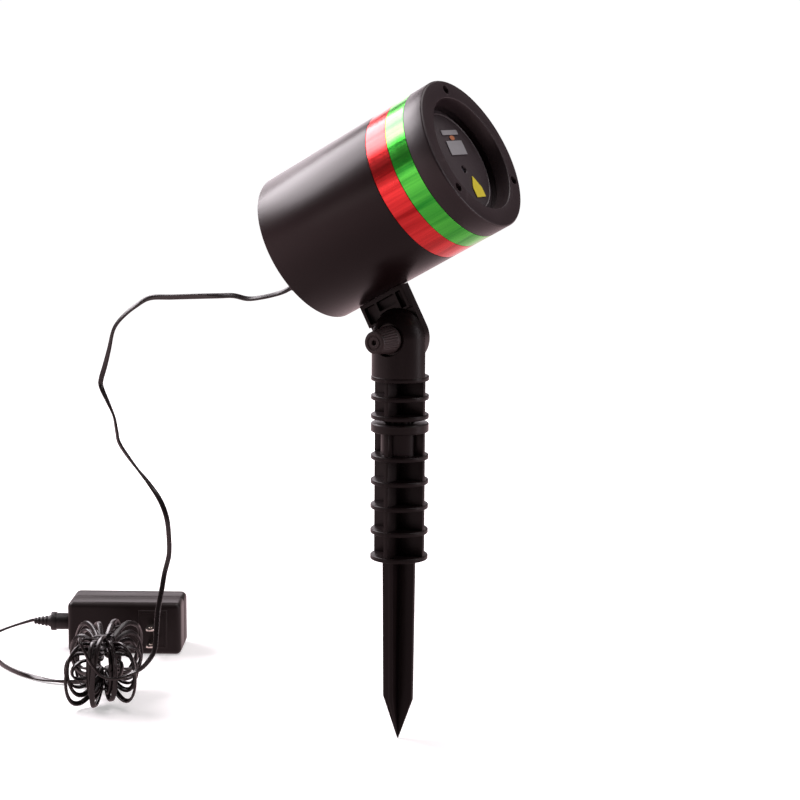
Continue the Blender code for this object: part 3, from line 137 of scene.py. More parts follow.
sweep_paper, tree = blank("sweep_paper")
tree.nodes.remove(tree.nodes["Principled BSDF"])
by_lens = add(tree, "LightPath").outputs["Is Camera Ray"]
paper = mixed(tree, by_lens, (0.12, 0.10, 0.10), (0.78, 0.76, 0.765))
matt = add(tree, "BsdfDiffuse", {"Color": paper})
ground = add(tree, "TexCoord").outputs["Object"]
away = add(tree, "VectorMath", {0: ground}, operation="LENGTH").outputs["Value"]
seen = ranged(tree, away, 0.42, 1.00, 0.35, 1.30)
mirrored = ranged(tree, away, 0.60, 1.15, 0.10, 0.80)
glow = white_when_seen(tree, matt.outputs[0], seen, mirrored)
feed(tree, tree.nodes["Material Output"], {"Surface": glow})
bm = bmesh.new()
bmesh.ops.create_grid(bm, x_segments=1, y_segments=1, size=9.0)
sweep_mesh = bpy.data.meshes.new("sweep")
bm.to_mesh(sweep_mesh)
bm.free()
sweep_mesh.materials.append(sweep_paper)
sweep = bpy.data.objects.new("sweep", sweep_mesh)
scene.collection.objects.link(sweep)

room = bpy.data.worlds.new("room")
room.use_nodes = True
tree = room.node_tree
plain = tree.nodes["Background"]
feed(tree, plain, {"Color": (1.0, 0.985, 0.985, 1.0), "Strength": 0.05})
glow = white_when_seen(tree, plain.outputs[0], 0.97, 0.06)
feed(tree, tree.nodes["World Output"], {"Surface": glow})
scene.world = room

for name, place, aim, size, power, tint in (
    ("key_box", (-1.20, -0.04, 0.98), (0.0, 0.0, 0.30), (1.20, 0.66), 29.0, (1.0, 0.93, 0.97)),
    ("strip_box", (1.10, 0.38, 0.50), (0.0, 0.0, 0.25), (0.18, 1.0), 4.5, (1.0, 0.92, 0.96)),
    ("top_box", (0.2, 0.4, 1.5), (0.0, 0.0, 0.20), (1.0, 1.0), 12.0, (1.0, 0.94, 0.95)),
    ("rear_box", (-0.95, 1.00, 0.62), (0.0, 0.0, 0.33), (0.9, 0.5), 3.2, (1.0, 0.90, 0.95)),
    ("low_box", (-0.75, -1.10, 0.30), (0.0, 0.0, 0.25), (0.6, 0.3), 0.7, (1.0, 0.84, 0.82)),
):
    lamp = bpy.data.lights.new(name, "AREA")
    lamp.shape = "RECTANGLE"
    lamp.size, lamp.size_y = size
    lamp.energy = power
    lamp.color = tint
    lit = bpy.data.objects.new(name, lamp)
    lit.location = place
    lit.visible_camera = False
    turn = (Vector(aim) - Vector(place)).to_track_quat("-Z", "Y")
    lit.rotation_mode = "QUATERNION"
    lit.rotation_quaternion = turn
    scene.collection.objects.link(lit)

# Lead
# Flat twin flex in soft black vinyl, extruded over its two cores. It leaves the gland, hangs
# behind the can, and is gathered in a hank before it reaches the plug-in supply.


def clouds(tree, place, scale, detail, roughness=0.5):
    """A cloudy pattern."""
    inputs = {"Vector": place, "Scale": scale, "Detail": detail, "Roughness": roughness}
    return add(tree, "TexNoise", inputs).outputs["Fac"]


def either_side(colour, drift):
    """A colour made darker and lighter by the same share."""
    return [tuple(min(1.0, c * (1.0 + way * drift)) for c in colour) for way in (-1.0, 1.0)]


def dress(tree, inputs, height, strength, depth):
    """Gives a finish its inputs and a relief."""
    relief = add(tree, "Bump", {"Strength": strength, "Distance": depth, "Height": height})
    inputs["Normal"] = relief.outputs["Normal"]
    feed(tree, tree.nodes["Principled BSDF"], inputs)


def finish_of(
    name,
    colour,
    roughness,
    metallic=0.0,
    specular=0.5,
    drift=0.25,
    drift_scale=60.0,
    grain_scale=1800.0,
    grain_depth=0.00004,
    gloss_drift=0.08,
    worn=0.0,
):
    """A finish with cloudy colour, uneven gloss, a fine moulded or painted grain and worn edges."""
    made, tree = blank(name)
    place = add(tree, "TexCoord").outputs["Object"]
    cloud = clouds(tree, place, drift_scale, 5.0, 0.6)
    base = mixed(tree, cloud, *either_side(colour, drift))
    if worn:
        edge = add(tree, "NewGeometry").outputs["Pointiness"]
        rubbed = ranged(tree, edge, 0.0, worn, 0.53, 0.62)
        base = mixed(tree, worked(tree, "MULTIPLY", rubbed, cloud), base, (0.12, 0.10, 0.10))
    smoothest, dullest = max(0.02, roughness - gloss_drift), min(1.0, roughness + gloss_drift)
    inputs = {"Base Color": base, "Roughness": ranged(tree, cloud, smoothest, dullest)}
    inputs.update({"Metallic": metallic, "Specular IOR Level": specular})
    dress(tree, inputs, clouds(tree, place, grain_scale, 3.0), 0.6, grain_depth)
    return made


def settle(name, bm, material, body, slot, *stands_for, smooth=30.0, at=None):
    """Makes the finished mesh a piece that moves with its body and stands for its solids."""
    if at is not None:
        bmesh.ops.transform(bm, matrix=at, verts=bm.verts)
    mesh = bpy.data.meshes.new(name)
    bm.to_mesh(mesh)
    bm.free()
    mesh.materials.append(material)
    mesh.shade_smooth()
    mesh.set_sharp_from_angle(angle=math.radians(smooth))
    made = bpy.data.objects.new(name, mesh)
    scene.collection.objects.link(made)
    if body:
        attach(made, body)
    if stands_for:
        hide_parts(*stands_for)
    return made


hinge = Vector((0.0, 0.0, 0.2633))
can = (
    Matrix.Translation(hinge)
    @ Matrix.Rotation(math.radians(61.7), 4, "Y")
    @ Matrix.Translation((-0.0797, 0.0, 0.0994))
)
supply = Matrix.Translation((-0.2818, 0.0879, 0.0)) @ Matrix.Rotation(math.radians(28.0), 4, "Z")

flex_width = 0.0036
flex_thickness = 0.0019
boot_end = can @ Vector((0.0205, -0.0180, -0.1474))
boot_way = (can.to_3x3() @ Vector((0.0, 0.0, -1.0))).normalized()
relief_end = supply @ Vector((-0.07095, 0.0, 0.01975))
relief_way = supply.to_3x3() @ Vector((1.0, 0.0, 0.0))

behind_can = (
    (-0.0755, -0.0185, 0.2899), (-0.0815, -0.0190, 0.2878), (-0.0910, -0.0200, 0.2854),
    (-0.1020, -0.0200, 0.2838), (-0.1130, -0.0200, 0.2852), (-0.1240, -0.0200, 0.2845),
    (-0.1400, -0.0200, 0.2833), (-0.1625, -0.0200, 0.2815), (-0.1800, -0.0200, 0.2800),
    (-0.1915, -0.0200, 0.2740), (-0.2000, -0.0200, 0.2680), (-0.2070, -0.0200, 0.2615),
    (-0.2110, -0.0200, 0.2550), (-0.2143, -0.0200, 0.2430), (-0.2180, -0.0200, 0.2315),
    (-0.2215, -0.0200, 0.2215), (-0.2212, -0.0200, 0.2165), (-0.2160, -0.0200, 0.2070),
    (-0.2110, -0.0200, 0.1975), (-0.2088, -0.0200, 0.1875), (-0.2065, -0.0200, 0.1790),
    (-0.1955, -0.0200, 0.1665), (-0.1825, -0.0200, 0.1540), (-0.1735, -0.0200, 0.1435),
    (-0.1685, -0.0200, 0.1330), (-0.1667, -0.0200, 0.1220), (-0.1665, -0.0200, 0.1070),
    (-0.1689, -0.0220, 0.0940), (-0.1687, -0.0260, 0.0824), (-0.1682, -0.0310, 0.0704),
    (-0.1660, -0.0360, 0.0587), (-0.1638, -0.0410, 0.0470), (-0.1650, -0.0445, 0.0408),
    (-0.1694, -0.0465, 0.0348), (-0.1758, -0.0459, 0.0304), (-0.1823, -0.0506, 0.0269),
    (-0.1890, -0.0550, 0.0254), (-0.1956, -0.0594, 0.0279), (-0.2011, -0.0620, 0.0354),
    (-0.2066, -0.0627, 0.0444), (-0.2108, -0.0618, 0.0499),
)
along_ground = (
    (-0.2167, 0.0134, 0.0409), (-0.2179, 0.0161, 0.0304), (-0.2223, 0.0156, 0.0164),
    (-0.2285, 0.0122, 0.0059), (-0.2371, 0.0071, 0.0022), (-0.2465, -0.0004, 0.0021),
    (-0.2552, -0.0109, 0.0021), (-0.2750, -0.0170, 0.0021), (-0.3000, -0.0140, 0.0021),
    (-0.3250, -0.0040, 0.0021), (-0.3470, 0.0110, 0.0026), (-0.3615, 0.0240, 0.0048),
    (-0.3675, 0.0390, 0.0110),
)
hank_middle = Vector((-0.2170, -0.0270, 0.0258))
hank_heading = math.radians(-56.6)
hank_forward = Vector((math.cos(hank_heading), math.sin(hank_heading), 0.0))
hank_right = Vector((-math.sin(hank_heading), math.cos(hank_heading), 0.0))
# unseeded, this noise starts from the clock and the hank lies otherwise on each run
noise.seed_set(34)


def on_hank(turn):
    """A place on the hank after that many loops: four nests in, four out, layer by layer."""
    wave = turn % 8
    nest = 4 - wave if wave < 4 else wave - 4
    angle = math.radians(45.0) - math.tau * turn
    layer = 0.0
    for climb in (4, 8, 12):
        share = min(1.0, max(0.0, (turn - climb) / 0.5 + 0.5))
        layer += share * share * (3 - 2 * share)
    bulge = math.sin(angle) ** 2
    waist = 0.0022 + 0.0036 * nest
    spread = 0.0140 + 0.0100 * nest
    loose = noise.noise_vector(Vector((turn * 1.9, 3.7, 0.4))) * 0.0060 * bulge
    forward = (0.0200 + 0.0036 * nest) * math.sin(angle) + loose.x
    rise = math.cos(angle) * (waist + (spread - waist) * bulge) + loose.y
    right = (layer - 1.5) * 0.0033 * (1 + 3.6 * bulge) + loose.z
    place = hank_middle + hank_forward * forward + hank_right * right
    place.z = max(0.0021, place.z + rise)
    return place


loops = 15.0 + 7.0 / 24.0
steps = round(loops * 24)
wound = [on_hank(loops * k / steps) for k in range(steps + 1)]
route = [boot_end - boot_way * 0.003, boot_end + boot_way * 0.0027]
route += [Vector(place) for place in behind_can]
first_wound = len(route)
route += wound
last_wound = len(route)
route += [Vector(place) for place in along_ground]
route += [relief_end - relief_way * 0.0027, relief_end + relief_way * 0.003]

# one even spacing on a smooth curve through all of those places
padded = [2 * route[0] - route[1], *route, 2 * route[-1] - route[-2]]
dense = []
for k in range(1, len(padded) - 2):
    p0, p1, p2, p3 = padded[k - 1 : k + 3]
    for j in range(12):
        t = j / 12
        place = 2 * p1 + (p2 - p0) * t + (2 * p0 - 5 * p1 + 4 * p2 - p3) * t * t
        place += (3 * p1 - p0 - 3 * p2 + p3) * t**3
        dense.append((place / 2, (k - 1 + t)))
dense.append((route[-1], len(route) - 1))
pitch = 0.0026
line, marks = [dense[0][0]], [0.0]
left = pitch
for (a, mark_a), (b, mark_b) in zip(dense, dense[1:]):
    span = (b - a).length
    run = 0.0
    while span - run >= left:
        run += left
        left = pitch
        line.append(a.lerp(b, run / span))
        marks.append(mark_a + (mark_b - mark_a) * run / span)
    left -= span - run
line.append(dense[-1][0])
marks.append(dense[-1][1])

ways = [(b - a).normalized() for a, b in zip(line, line[1:])]
ways = [ways[0]] + [(a + b).normalized() for a, b in zip(ways, ways[1:])] + [ways[-1]]
# the flex bends over its thin side, so in the hank its width lies across the loops
middle = next(k for k, mark in enumerate(marks) if mark > (first_wound + last_wound) / 2)
flats = [None] * len(line)
flats[middle] = ways[middle].cross(hank_right).normalized()
for order in (range(middle + 1, len(line)), range(middle - 1, -1, -1)):
    last = middle
    for k in order:
        turn = ways[last].rotation_difference(ways[k])
        flats[k] = (turn @ flats[last]).normalized()
        last = k

bm = bmesh.new()
section = []
for k in range(20):
    a = math.tau * k / 20
    lobe = math.copysign((flex_width - flex_thickness) / 2, math.cos(a))
    x = lobe + flex_thickness / 2 * math.cos(a)
    groove = 0.72 + 0.28 * min(1.0, abs(x) / 0.0006)
    section.append((x, flex_thickness / 2 * math.sin(a) * groove))


def section_frame(k):
    """Where the twin section stands at a step of the line."""
    run = k * pitch
    free = 1.0 if not first_wound < marks[k] < last_wound else 0.35
    twist = free * (1.3 * math.sin(run * 19.0) + 0.9 * math.sin(run * 43.0 + 1.0))
    flat = Matrix.Rotation(twist, 3, ways[k]) @ flats[k]
    side = ways[k].cross(flat).normalized()
    return Matrix.Translation(line[k]) @ Matrix((side, flat, ways[k])).transposed().to_4x4()


ring = [bm.verts.new((x, y, 0.0)) for x, y in section]
for a, b in zip(ring, ring[1:] + ring[:1]):
    bm.edges.new((a, b))
bmesh.ops.transform(bm, matrix=section_frame(0), verts=ring)
edges = list(bm.edges)
start_cap = list(edges)
for k in range(1, len(line)):
    out = bmesh.ops.extrude_edge_only(bm, edges=edges)["geom"]
    ring = [part for part in out if isinstance(part, bmesh.types.BMVert)]
    edges = [part for part in out if isinstance(part, bmesh.types.BMEdge)]
    step = section_frame(k) @ section_frame(k - 1).inverted()
    bmesh.ops.transform(bm, matrix=step, verts=ring)
bmesh.ops.holes_fill(bm, edges=start_cap, sides=0)
bmesh.ops.holes_fill(bm, edges=edges, sides=0)
bmesh.ops.recalc_face_normals(bm, faces=bm.faces)
flex_vinyl = finish_of(
    "flex_vinyl", (0.012, 0.007, 0.0075), 0.27, specular=0.5, grain_scale=900.0, grain_depth=0.00003
)
flex = settle("flat_twin_lead", bm, flex_vinyl, None, "cord_jacket", smooth=60.0)
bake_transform(flex)
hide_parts("cord_lead", "cord_drop", "cord_hank", "cord_tail")


# Tie
# A flat black twist tie, a vinyl ribbon over one soft wire. It goes once round the hank's
# waist and its two ends are wrung together on top.

tie_vinyl = finish_of(
    "tie_vinyl", (0.012, 0.010, 0.010), 0.40, grain_scale=1200.0, grain_depth=0.00002
)
waist = Matrix.Translation(hank_middle) @ Matrix(
    (hank_right, Vector((0.0, 0.0, 1.0)), hank_forward)
).transposed().to_4x4()
bm = bmesh.new()
for radius in (0.00195, 0.00275):
    made = bmesh.ops.create_circle(bm, cap_ends=False, segments=48, radius=radius)["verts"]
    bmesh.ops.rotate(bm, verts=made, cent=(0, 0, 0), matrix=Matrix.Rotation(0.05, 3, "Z"))
    for vert in made:
        vert.co.x += math.copysign(0.00495, vert.co.x)
        vert.co.y += math.copysign(0.0166, vert.co.y)
ribbon = bmesh.ops.bridge_loops(bm, edges=list(bm.edges))["faces"]
drawn = bmesh.ops.extrude_face_region(bm, geom=ribbon)["geom"]
bmesh.ops.translate(
    bm, verts=[part for part in drawn if isinstance(part, bmesh.types.BMVert)], vec=(0, 0, 0.004)
)
bmesh.ops.translate(bm, verts=bm.verts, vec=(0, 0, -0.002))
wire_end = bmesh.ops.create_grid(bm, x_segments=1, y_segments=1, size=0.5)["verts"]
bmesh.ops.scale(bm, vec=(0.0032, 0.0009, 1.0), verts=wire_end)
stand = Matrix.Rotation(math.radians(-90.0), 4, "X")
stand = Matrix.Translation((0.0015, 0.0172, 0.0)) @ stand
bmesh.ops.transform(bm, matrix=stand, verts=wire_end)
top_face = list({face for vert in wire_end for face in vert.link_faces})
for step in range(14):
    drawn = bmesh.ops.extrude_face_region(bm, geom=top_face)["geom"]
    if step:
        bmesh.ops.delete(bm, geom=top_face, context="FACES_ONLY")
    moved = [part for part in drawn if isinstance(part, bmesh.types.BMVert)]
    top_face = [part for part in drawn if isinstance(part, bmesh.types.BMFace)]
    lean = 0.0008 * math.sin(step / 13 * math.pi)
    bmesh.ops.translate(bm, verts=moved, vec=(0.00045 + lean * 0.3, 0.00075, lean))
    hub = sum((vert.co for vert in moved), Vector()) / len(moved)
    bmesh.ops.rotate(
        bm, verts=moved, cent=hub, matrix=Matrix.Rotation(math.radians(42.0), 3, "Y")
    )
bmesh.ops.recalc_face_normals(bm, faces=bm.faces)
tie = settle("twist_tie", bm, tie_vinyl, "base", "cord_jacket", "cord_tie", at=waist)

# Plug-in supply
# Two half shells of black polycarbonate, welded along the seam round the middle. The near half
# has the raised plug panel with two flat blades moulded into it.


def soften(bm, edge, segments=2, sharper=28.0, edges=None):
    """Breaks the sharp edges of a shape."""
    if edges is None:
        edges = [
            one
            for one in bm.edges
            if len(one.link_faces) == 2 and one.calc_face_angle(0.0) > math.radians(sharper)
        ]
    bmesh.ops.bevel(
        bm,
        geom=edges,
        offset=edge,
        offset_type="OFFSET",
        segments=segments,
        profile=0.5,
        affect="EDGES",
        material=-1,
        clamp_overlap=True,
    )


def brick(size, centre, edge=0.0, segments=3):
    """A block with its edges broken."""
    bm = bmesh.new()
    bmesh.ops.create_cube(bm, size=1.0)
    bmesh.ops.scale(bm, vec=size, verts=bm.verts)
    if edge:
        soften(bm, edge, segments)
    bmesh.ops.translate(bm, verts=bm.verts, vec=centre)
    return bm


def together(*shapes):
    """Several shapes in one mesh."""
    whole = shapes[0]
    for shape in shapes[1:]:
        carrier = bpy.data.meshes.new("carrier")
        shape.to_mesh(carrier)
        shape.free()
        whole.from_mesh(carrier)
        bpy.data.meshes.remove(carrier)
    return whole


case_plastic = finish_of(
    "case_plastic",
    (0.014, 0.009, 0.009),
    0.36,
    specular=0.26,
    drift=0.18,
    drift_scale=35.0,
    grain_scale=1500.0,
    grain_depth=0.00005,
    worn=0.5,
)
case_length, case_depth, case_height = 0.0845, 0.0415, 0.0395
seam = 0.0003
half_depth = (case_depth - seam) / 2
for side, name, node in (
    (-1.0, "supply_front_half", "adapter_case_front"),
    (1.0, "supply_back_half", "adapter_case_back"),
):
    bm = bmesh.new()
    bmesh.ops.create_cube(bm, size=1.0)
    bmesh.ops.scale(bm, vec=(case_length, half_depth, case_height), verts=bm.verts)
    outside = [one for one in bm.edges if max(side * vert.co.y for vert in one.verts) > 0.0]
    soften(bm, 0.0042, 6, edges=outside)
    rim = [
        one
        for one in bm.edges
        if all(side * vert.co.y < 0.0001 - half_depth / 2 for vert in one.verts)
    ]
    soften(bm, 0.0004, 2, edges=rim)
    middle_y = side * (seam / 2 + half_depth / 2)
    bmesh.ops.translate(bm, verts=bm.verts, vec=(0.0, middle_y, case_height / 2))
    if side < 0:
        face_y = -seam / 2 - half_depth
        panel = brick((0.0215, 0.0012, 0.0290), (0.0215, face_y - 0.0002, case_height / 2))
        front = [face for face in panel.faces if face.normal.y < -0.9]
        soften(panel, 0.0010, 3, edges=[one for one in front[0].edges])
        forward = [face for face in panel.faces if face.normal.y < -0.9]
        front = max(forward, key=lambda face: face.calc_area())
        bmesh.ops.inset_region(panel, faces=[front], thickness=0.0011, depth=0.0)
        bmesh.ops.inset_region(panel, faces=[front], thickness=0.0003, depth=-0.0004)
        bm = together(bm, panel)
    settle(name, bm, case_plastic, "base", "adapter_plastic", node, at=supply)

# Plug blades
# Two flat blades of nickel-plated brass, 6.35 by 1.5 mm and 12.7 mm apart, stamped with a
# hole near the rounded tip.


def carved(bm, *cutters):
    """One shape cut by others, one after another."""
    for cutter in cutters:
        blanks = []
        for shape in (bm, cutter):
            mesh = bpy.data.meshes.new("blank")
            shape.to_mesh(mesh)
            shape.free()
            blank_piece = bpy.data.objects.new("blank", mesh)
            scene.collection.objects.link(blank_piece)
            blanks.append(blank_piece)
        tool = blanks[0].modifiers.new("tool", "BOOLEAN")
        tool.operation = "DIFFERENCE"
        tool.solver = "EXACT"
        tool.object = blanks[1]
        bpy.context.view_layer.update()
        bm = bmesh.new()
        bm.from_object(blanks[0], bpy.context.evaluated_depsgraph_get())
        for blank_piece in blanks:
            mesh = blank_piece.data
            bpy.data.objects.remove(blank_piece)
            bpy.data.meshes.remove(mesh)
    return bm


def rod(radius, start, end, steps=32, end_radius=None):
    """A round bar from one place to another."""
    start, end = Vector(start), Vector(end)
    bm = bmesh.new()
    bmesh.ops.create_cone(
        bm,
        cap_ends=True,
        segments=steps,
        radius1=radius,
        radius2=radius if end_radius is None else end_radius,
        depth=(end - start).length,
    )
    turn = Vector((0, 0, 1)).rotation_difference((end - start).normalized()).to_matrix().to_4x4()
    bmesh.ops.transform(bm, matrix=Matrix.Translation((start + end) / 2) @ turn, verts=bm.verts)
    return bm


def metal_of(name, colour, roughness, streak_scale=(40.0, 900.0, 900.0)):
    """A metal with fine drawn or turned streaks."""
    made, tree = blank(name)
    place = add(tree, "TexCoord").outputs["Object"]
    drawn_out = add(tree, "Mapping", {"Vector": place, "Scale": streak_scale}).outputs["Vector"]
    streak = clouds(tree, drawn_out, 1.0, 4.0)
    inputs = {"Metallic": 1.0, "Base Color": mixed(tree, streak, *either_side(colour, 0.08))}
    inputs["Roughness"] = ranged(tree, streak, roughness * 0.7, roughness * 1.3)
    dress(tree, inputs, streak, 0.4, 0.00002)
    return made


nickel = metal_of("nickel_plate", (0.72, 0.69, 0.64), 0.22)
face_y = -seam / 2 - half_depth
for number, up in ((1, -0.00635), (2, 0.00635)):
    rise = case_height / 2 - 0.0025 + up
    low_y, high_y = face_y - 0.0175, face_y + 0.0060
    bm = bmesh.new()
    bmesh.ops.create_cube(bm, size=1.0)
    bmesh.ops.scale(bm, vec=(0.00635, high_y - low_y, 0.0015), verts=bm.verts)
    bmesh.ops.translate(bm, verts=bm.verts, vec=(0.0215, (low_y + high_y) / 2, rise))
    tip = [
        one
        for one in bm.edges
        if all(vert.co.y < face_y - 0.01 for vert in one.verts)
        and abs(one.verts[0].co.z - one.verts[1].co.z) > 0.001
    ]
    soften(bm, 0.0022, 6, edges=tip)
    hole_y = low_y + 0.0048
    bm = carved(bm, rod(0.0016, (0.0215, hole_y, rise - 0.01), (0.0215, hole_y, rise + 0.01)))
    soften(bm, 0.00018, 2)
    settle(
        f"plug_blade_{number}", bm, nickel, "base", "plated_prong", f"adapter_prong_{number}",
        at=supply,
    )

# Strain relief of the supply
# A black flexible moulding on the flex: a smooth neck in the case, a thick ring and a tapered
# boot cut into rings so that it bends.


def lathe(profile, steps, edge=0.0, segments=2):
    """A turned shape: (radius, height) down its outer side, spun about Z, corners broken."""
    bm = bmesh.new()
    verts = [bm.verts.new((radius, 0.0, height)) for radius, height in profile]
    edges = [bm.edges.new(pair) for pair in zip(verts, verts[1:])]
    if profile[0][0] > 0.0:
        edges.append(bm.edges.new((verts[-1], verts[0])))
    bmesh.ops.spin(
        bm,
        geom=verts + edges,
        axis=(0, 0, 1),
        cent=(0, 0, 0),
        steps=steps,
        angle=math.tau,
        use_merge=True,
    )
    bmesh.ops.remove_doubles(bm, verts=bm.verts, dist=0.000001)
    bmesh.ops.recalc_face_normals(bm, faces=bm.faces)
    if edge:
        soften(bm, edge, segments)
    return bm


flexible_black = finish_of(
    "flexible_black", (0.010, 0.007, 0.008), 0.46, grain_scale=1100.0, grain_depth=0.00004
)
start = case_length / 2 + 0.0003
ring_start = start + 0.0115
boot_start = ring_start + 0.0036
boot_tip = boot_start + 0.0130
profile = [(0.0, boot_tip), (0.0023, boot_tip)]
for k in range(4):
    far = boot_tip - 0.0012 - k * 0.0028
    radius = 0.0026 + 0.00045 * k
    profile += [(radius, far), (radius - 0.0005, far - 0.0003)]
    profile += [(radius - 0.0004, far - 0.0012), (radius + 0.0003, far - 0.0015)]
profile += [
    (0.0043, boot_start), (0.0070, boot_start), (0.0070, ring_start), (0.0062, ring_start),
    (0.0062, start), (0.0045, start), (0.0045, start - 0.0025), (0.0, start - 0.0025),
]
bm = lathe(profile, 48, 0.00015)
lay_over = Matrix.Translation((0.0, 0.0, case_height / 2)) @ Matrix.Rotation(
    math.radians(-90.0), 4, "Y"
)
boot_at = supply @ lay_over
supply_boot = settle(
    "supply_boot", bm, flexible_black, "base", "flexible_black", "adapter_strain_relief", at=boot_at
)

# Inside the supply
# A tan board of bonded paper and a small transformer wound on a grey core. Both are closed in
# when the shells are welded.


def refinish(material, *nodes):
    """Gives a finish to solids whose shape stays as it is."""
    for node in nodes:
        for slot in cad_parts[node].material_slots:
            slot.material = material


refinish(
    finish_of("paper_board", (0.42, 0.30, 0.11), 0.5, grain_scale=700.0, grain_depth=0.00005),
    "adapter_board",
)
refinish(
    finish_of("wound_core", (0.09, 0.09, 0.10), 0.5, grain_scale=500.0, grain_depth=0.0001),
    "adapter_transformer",
)

# Can
# A deep-drawn aluminium can in brown-black satin enamel, 100 mm across and 133 mm long. Its
# front is rolled in by a foil's thickness where the two colour bands are laid.

can_enamel = finish_of(
    "can_enamel",
    (0.026, 0.013, 0.014),
    0.29,
    specular=0.18,
    drift=0.10,
    drift_scale=18.0,
    grain_scale=2600.0,
    grain_depth=0.00003,
    gloss_drift=0.04,
)
can_radius, can_length, can_wall = 0.0500, 0.1333, 0.0020
inner = can_radius - can_wall
groove = can_radius - 0.0008
ledge = -can_length + 0.0060
seat = -0.0246
bm = lathe(
    [
        (groove, -0.0143), (groove, -0.0439), (can_radius, -0.0439),
        (can_radius, 0.0009 - can_length), (can_radius - 0.0003, 0.0003 - can_length),
        (can_radius - 0.0009, -can_length), (inner + 0.0003, -can_length),
        (inner, 0.0003 - can_length), (inner, ledge), (0.0425, ledge), (0.0425, ledge + 0.0020),
        (inner, ledge + 0.0020), (inner, seat - 0.0020), (0.0425, seat - 0.0020), (0.0425, seat),
        (inner, seat), (inner, -0.0143),
    ],
    160,
    0.00012,
    1,
)
settle("enamelled_can", bm, can_enamel, "head", "can_paint", "housing", at=can)

# Colour bands
# Two strips of metallised film, green in front of red, stuck round the can. The film is
# mirror-bright and its small ripples run along the can, with painted reflection streaks, darker and
# brighter, in its colour.

can_turn = can.to_3x3().inverted().to_euler("XYZ")


def foil_of(name, colour, streak_shade_colour):
    """Metallised film: ripples along the can with painted reflection streaks, darker and brighter,
    in its colour, and a few soft creases.
    """
    made, tree = blank(name)
    place = add(tree, "TexCoord").outputs["Object"]
    turned = add(tree, "Mapping", {"Vector": place, "Rotation": can_turn}).outputs["Vector"]
    along = add(tree, "Mapping", {"Vector": turned, "Scale": (1.0, 1.0, 0.04)}).outputs["Vector"]
    streak = clouds(tree, along, 90.0, 4.0, 0.65)
    crease = clouds(tree, turned, 55.0, 2.0)
    painted_reflection_streaks = ranged(tree, streak, 0.0, 1.0, 0.34, 0.66)
    inputs = {"Metallic": 0.85, "Coat Weight": 0.15, "Coat Roughness": 0.12}
    # painted reflection: the film's colour runs from a shaded tone to a bright one along the
    # ripples
    inputs["Base Color"] = mixed(tree, painted_reflection_streaks, streak_shade_colour, colour)
    inputs["Roughness"] = ranged(tree, crease, 0.16, 0.34)
    dress(tree, inputs, worked(tree, "ADD", streak, crease), 0.5, 0.00035)
    return made


film_inside = can_radius - 0.0005
# each film has its bright colour and the shaded tone of its painted reflection streaks
for tone, front, back, colour, streak_shade_colour in (
    ("green", 0.0143, 0.0280, (0.12, 0.80, 0.08), (0.005, 0.30, 0.02)),
    ("red", 0.0283, 0.0436, (0.98, 0.05, 0.05), (0.36, 0.002, 0.004)),
):
    profile = [(can_radius, -front), (can_radius, -back)]
    profile += [(film_inside, -back), (film_inside, -front)]
    bm = lathe(profile, 160, 0.00008, 1)
    foil = foil_of(f"{tone}_film", colour, streak_shade_colour)
    settle(f"{tone}_film", bm, foil, "head", f"{tone}_foil", f"{tone}_band", at=can)

# Front ring
# An injection-moulded ring of glass-filled nylon, pressed into the can's mouth on its spigot
# and pulled down by three screws in deep wells.

ring_nylon = finish_of(
    "ring_nylon",
    (0.028, 0.017, 0.020),
    0.40,
    specular=0.35,
    drift=0.15,
    grain_scale=1700.0,
    grain_depth=0.00005,
    worn=0.35,
)
spigot = inner - 0.0003
bm = lathe(
    [
        (0.0485, 0.0), (0.0490, -0.0001), (0.0496, -0.0004), (0.0500, -0.0010), (0.0500, -0.0140),
        (spigot, -0.0140), (spigot, -0.0230), (spigot - 0.0024, -0.0230),
        (spigot - 0.0024, -0.0100), (0.0398, -0.0100), (0.0398, -0.0134), (0.0372, -0.0134),
        (0.0372, -0.0096), (0.0362, -0.0090), (0.0379, -0.0006), (0.0381, -0.0002), (0.0385, 0.0),
    ],
    160,
    0.00012,
)
well_radius = 0.0029


def on_circle(radius, *angles):
    """Places on a circle, the angles in degrees."""
    return [(radius * math.cos(a), radius * math.sin(a)) for a in map(math.radians, angles)]


screw_places = on_circle(0.0434, 176.0, -60.0, 62.0)
bm = carved(bm, *(rod(well_radius, (x, y, -0.0060), (x, y, 0.0010)) for x, y in screw_places))


def on_rim(vert):
    """Whether a corner lies on the upper rim of a well."""
    gaps = [abs((vert.co.xy - Vector(place)).length - well_radius) for place in screw_places]
    return abs(vert.co.z) < 0.00002 and min(gaps) < 0.00004


rims = [one for one in bm.edges if all(on_rim(vert) for vert in one.verts)]
soften(bm, 0.0003, 2, edges=rims)
settle("front_ring", bm, ring_nylon, "head", "bezel_black", "front_bezel", at=can)

# Front screws
# Black-oxide steel screws with a pan head and a cross recess. They sit at the bottom of the
# ring's wells and go into the bosses of the can.


def cross_screw(head_radius, head_height, shank_radius, shank_length):
    """A pan-head screw with a cross recess, its head's seat at height nought."""
    bm = lathe(
        [
            (0.0, head_height), (head_radius * 0.55, head_height * 0.95),
            (head_radius * 0.88, head_height * 0.70), (head_radius, head_height * 0.30),
            (head_radius, 0.0), (shank_radius, 0.0), (shank_radius, -shank_length + shank_radius),
            (0.0, -shank_length),
        ],
        40,
    )
    long, narrow = head_radius * 1.15, head_radius * 0.26
    sizes = ((long, narrow, head_height), (narrow, long, head_height))
    return carved(bm, *(brick(size, (0.0, 0.0, head_height)) for size in sizes))


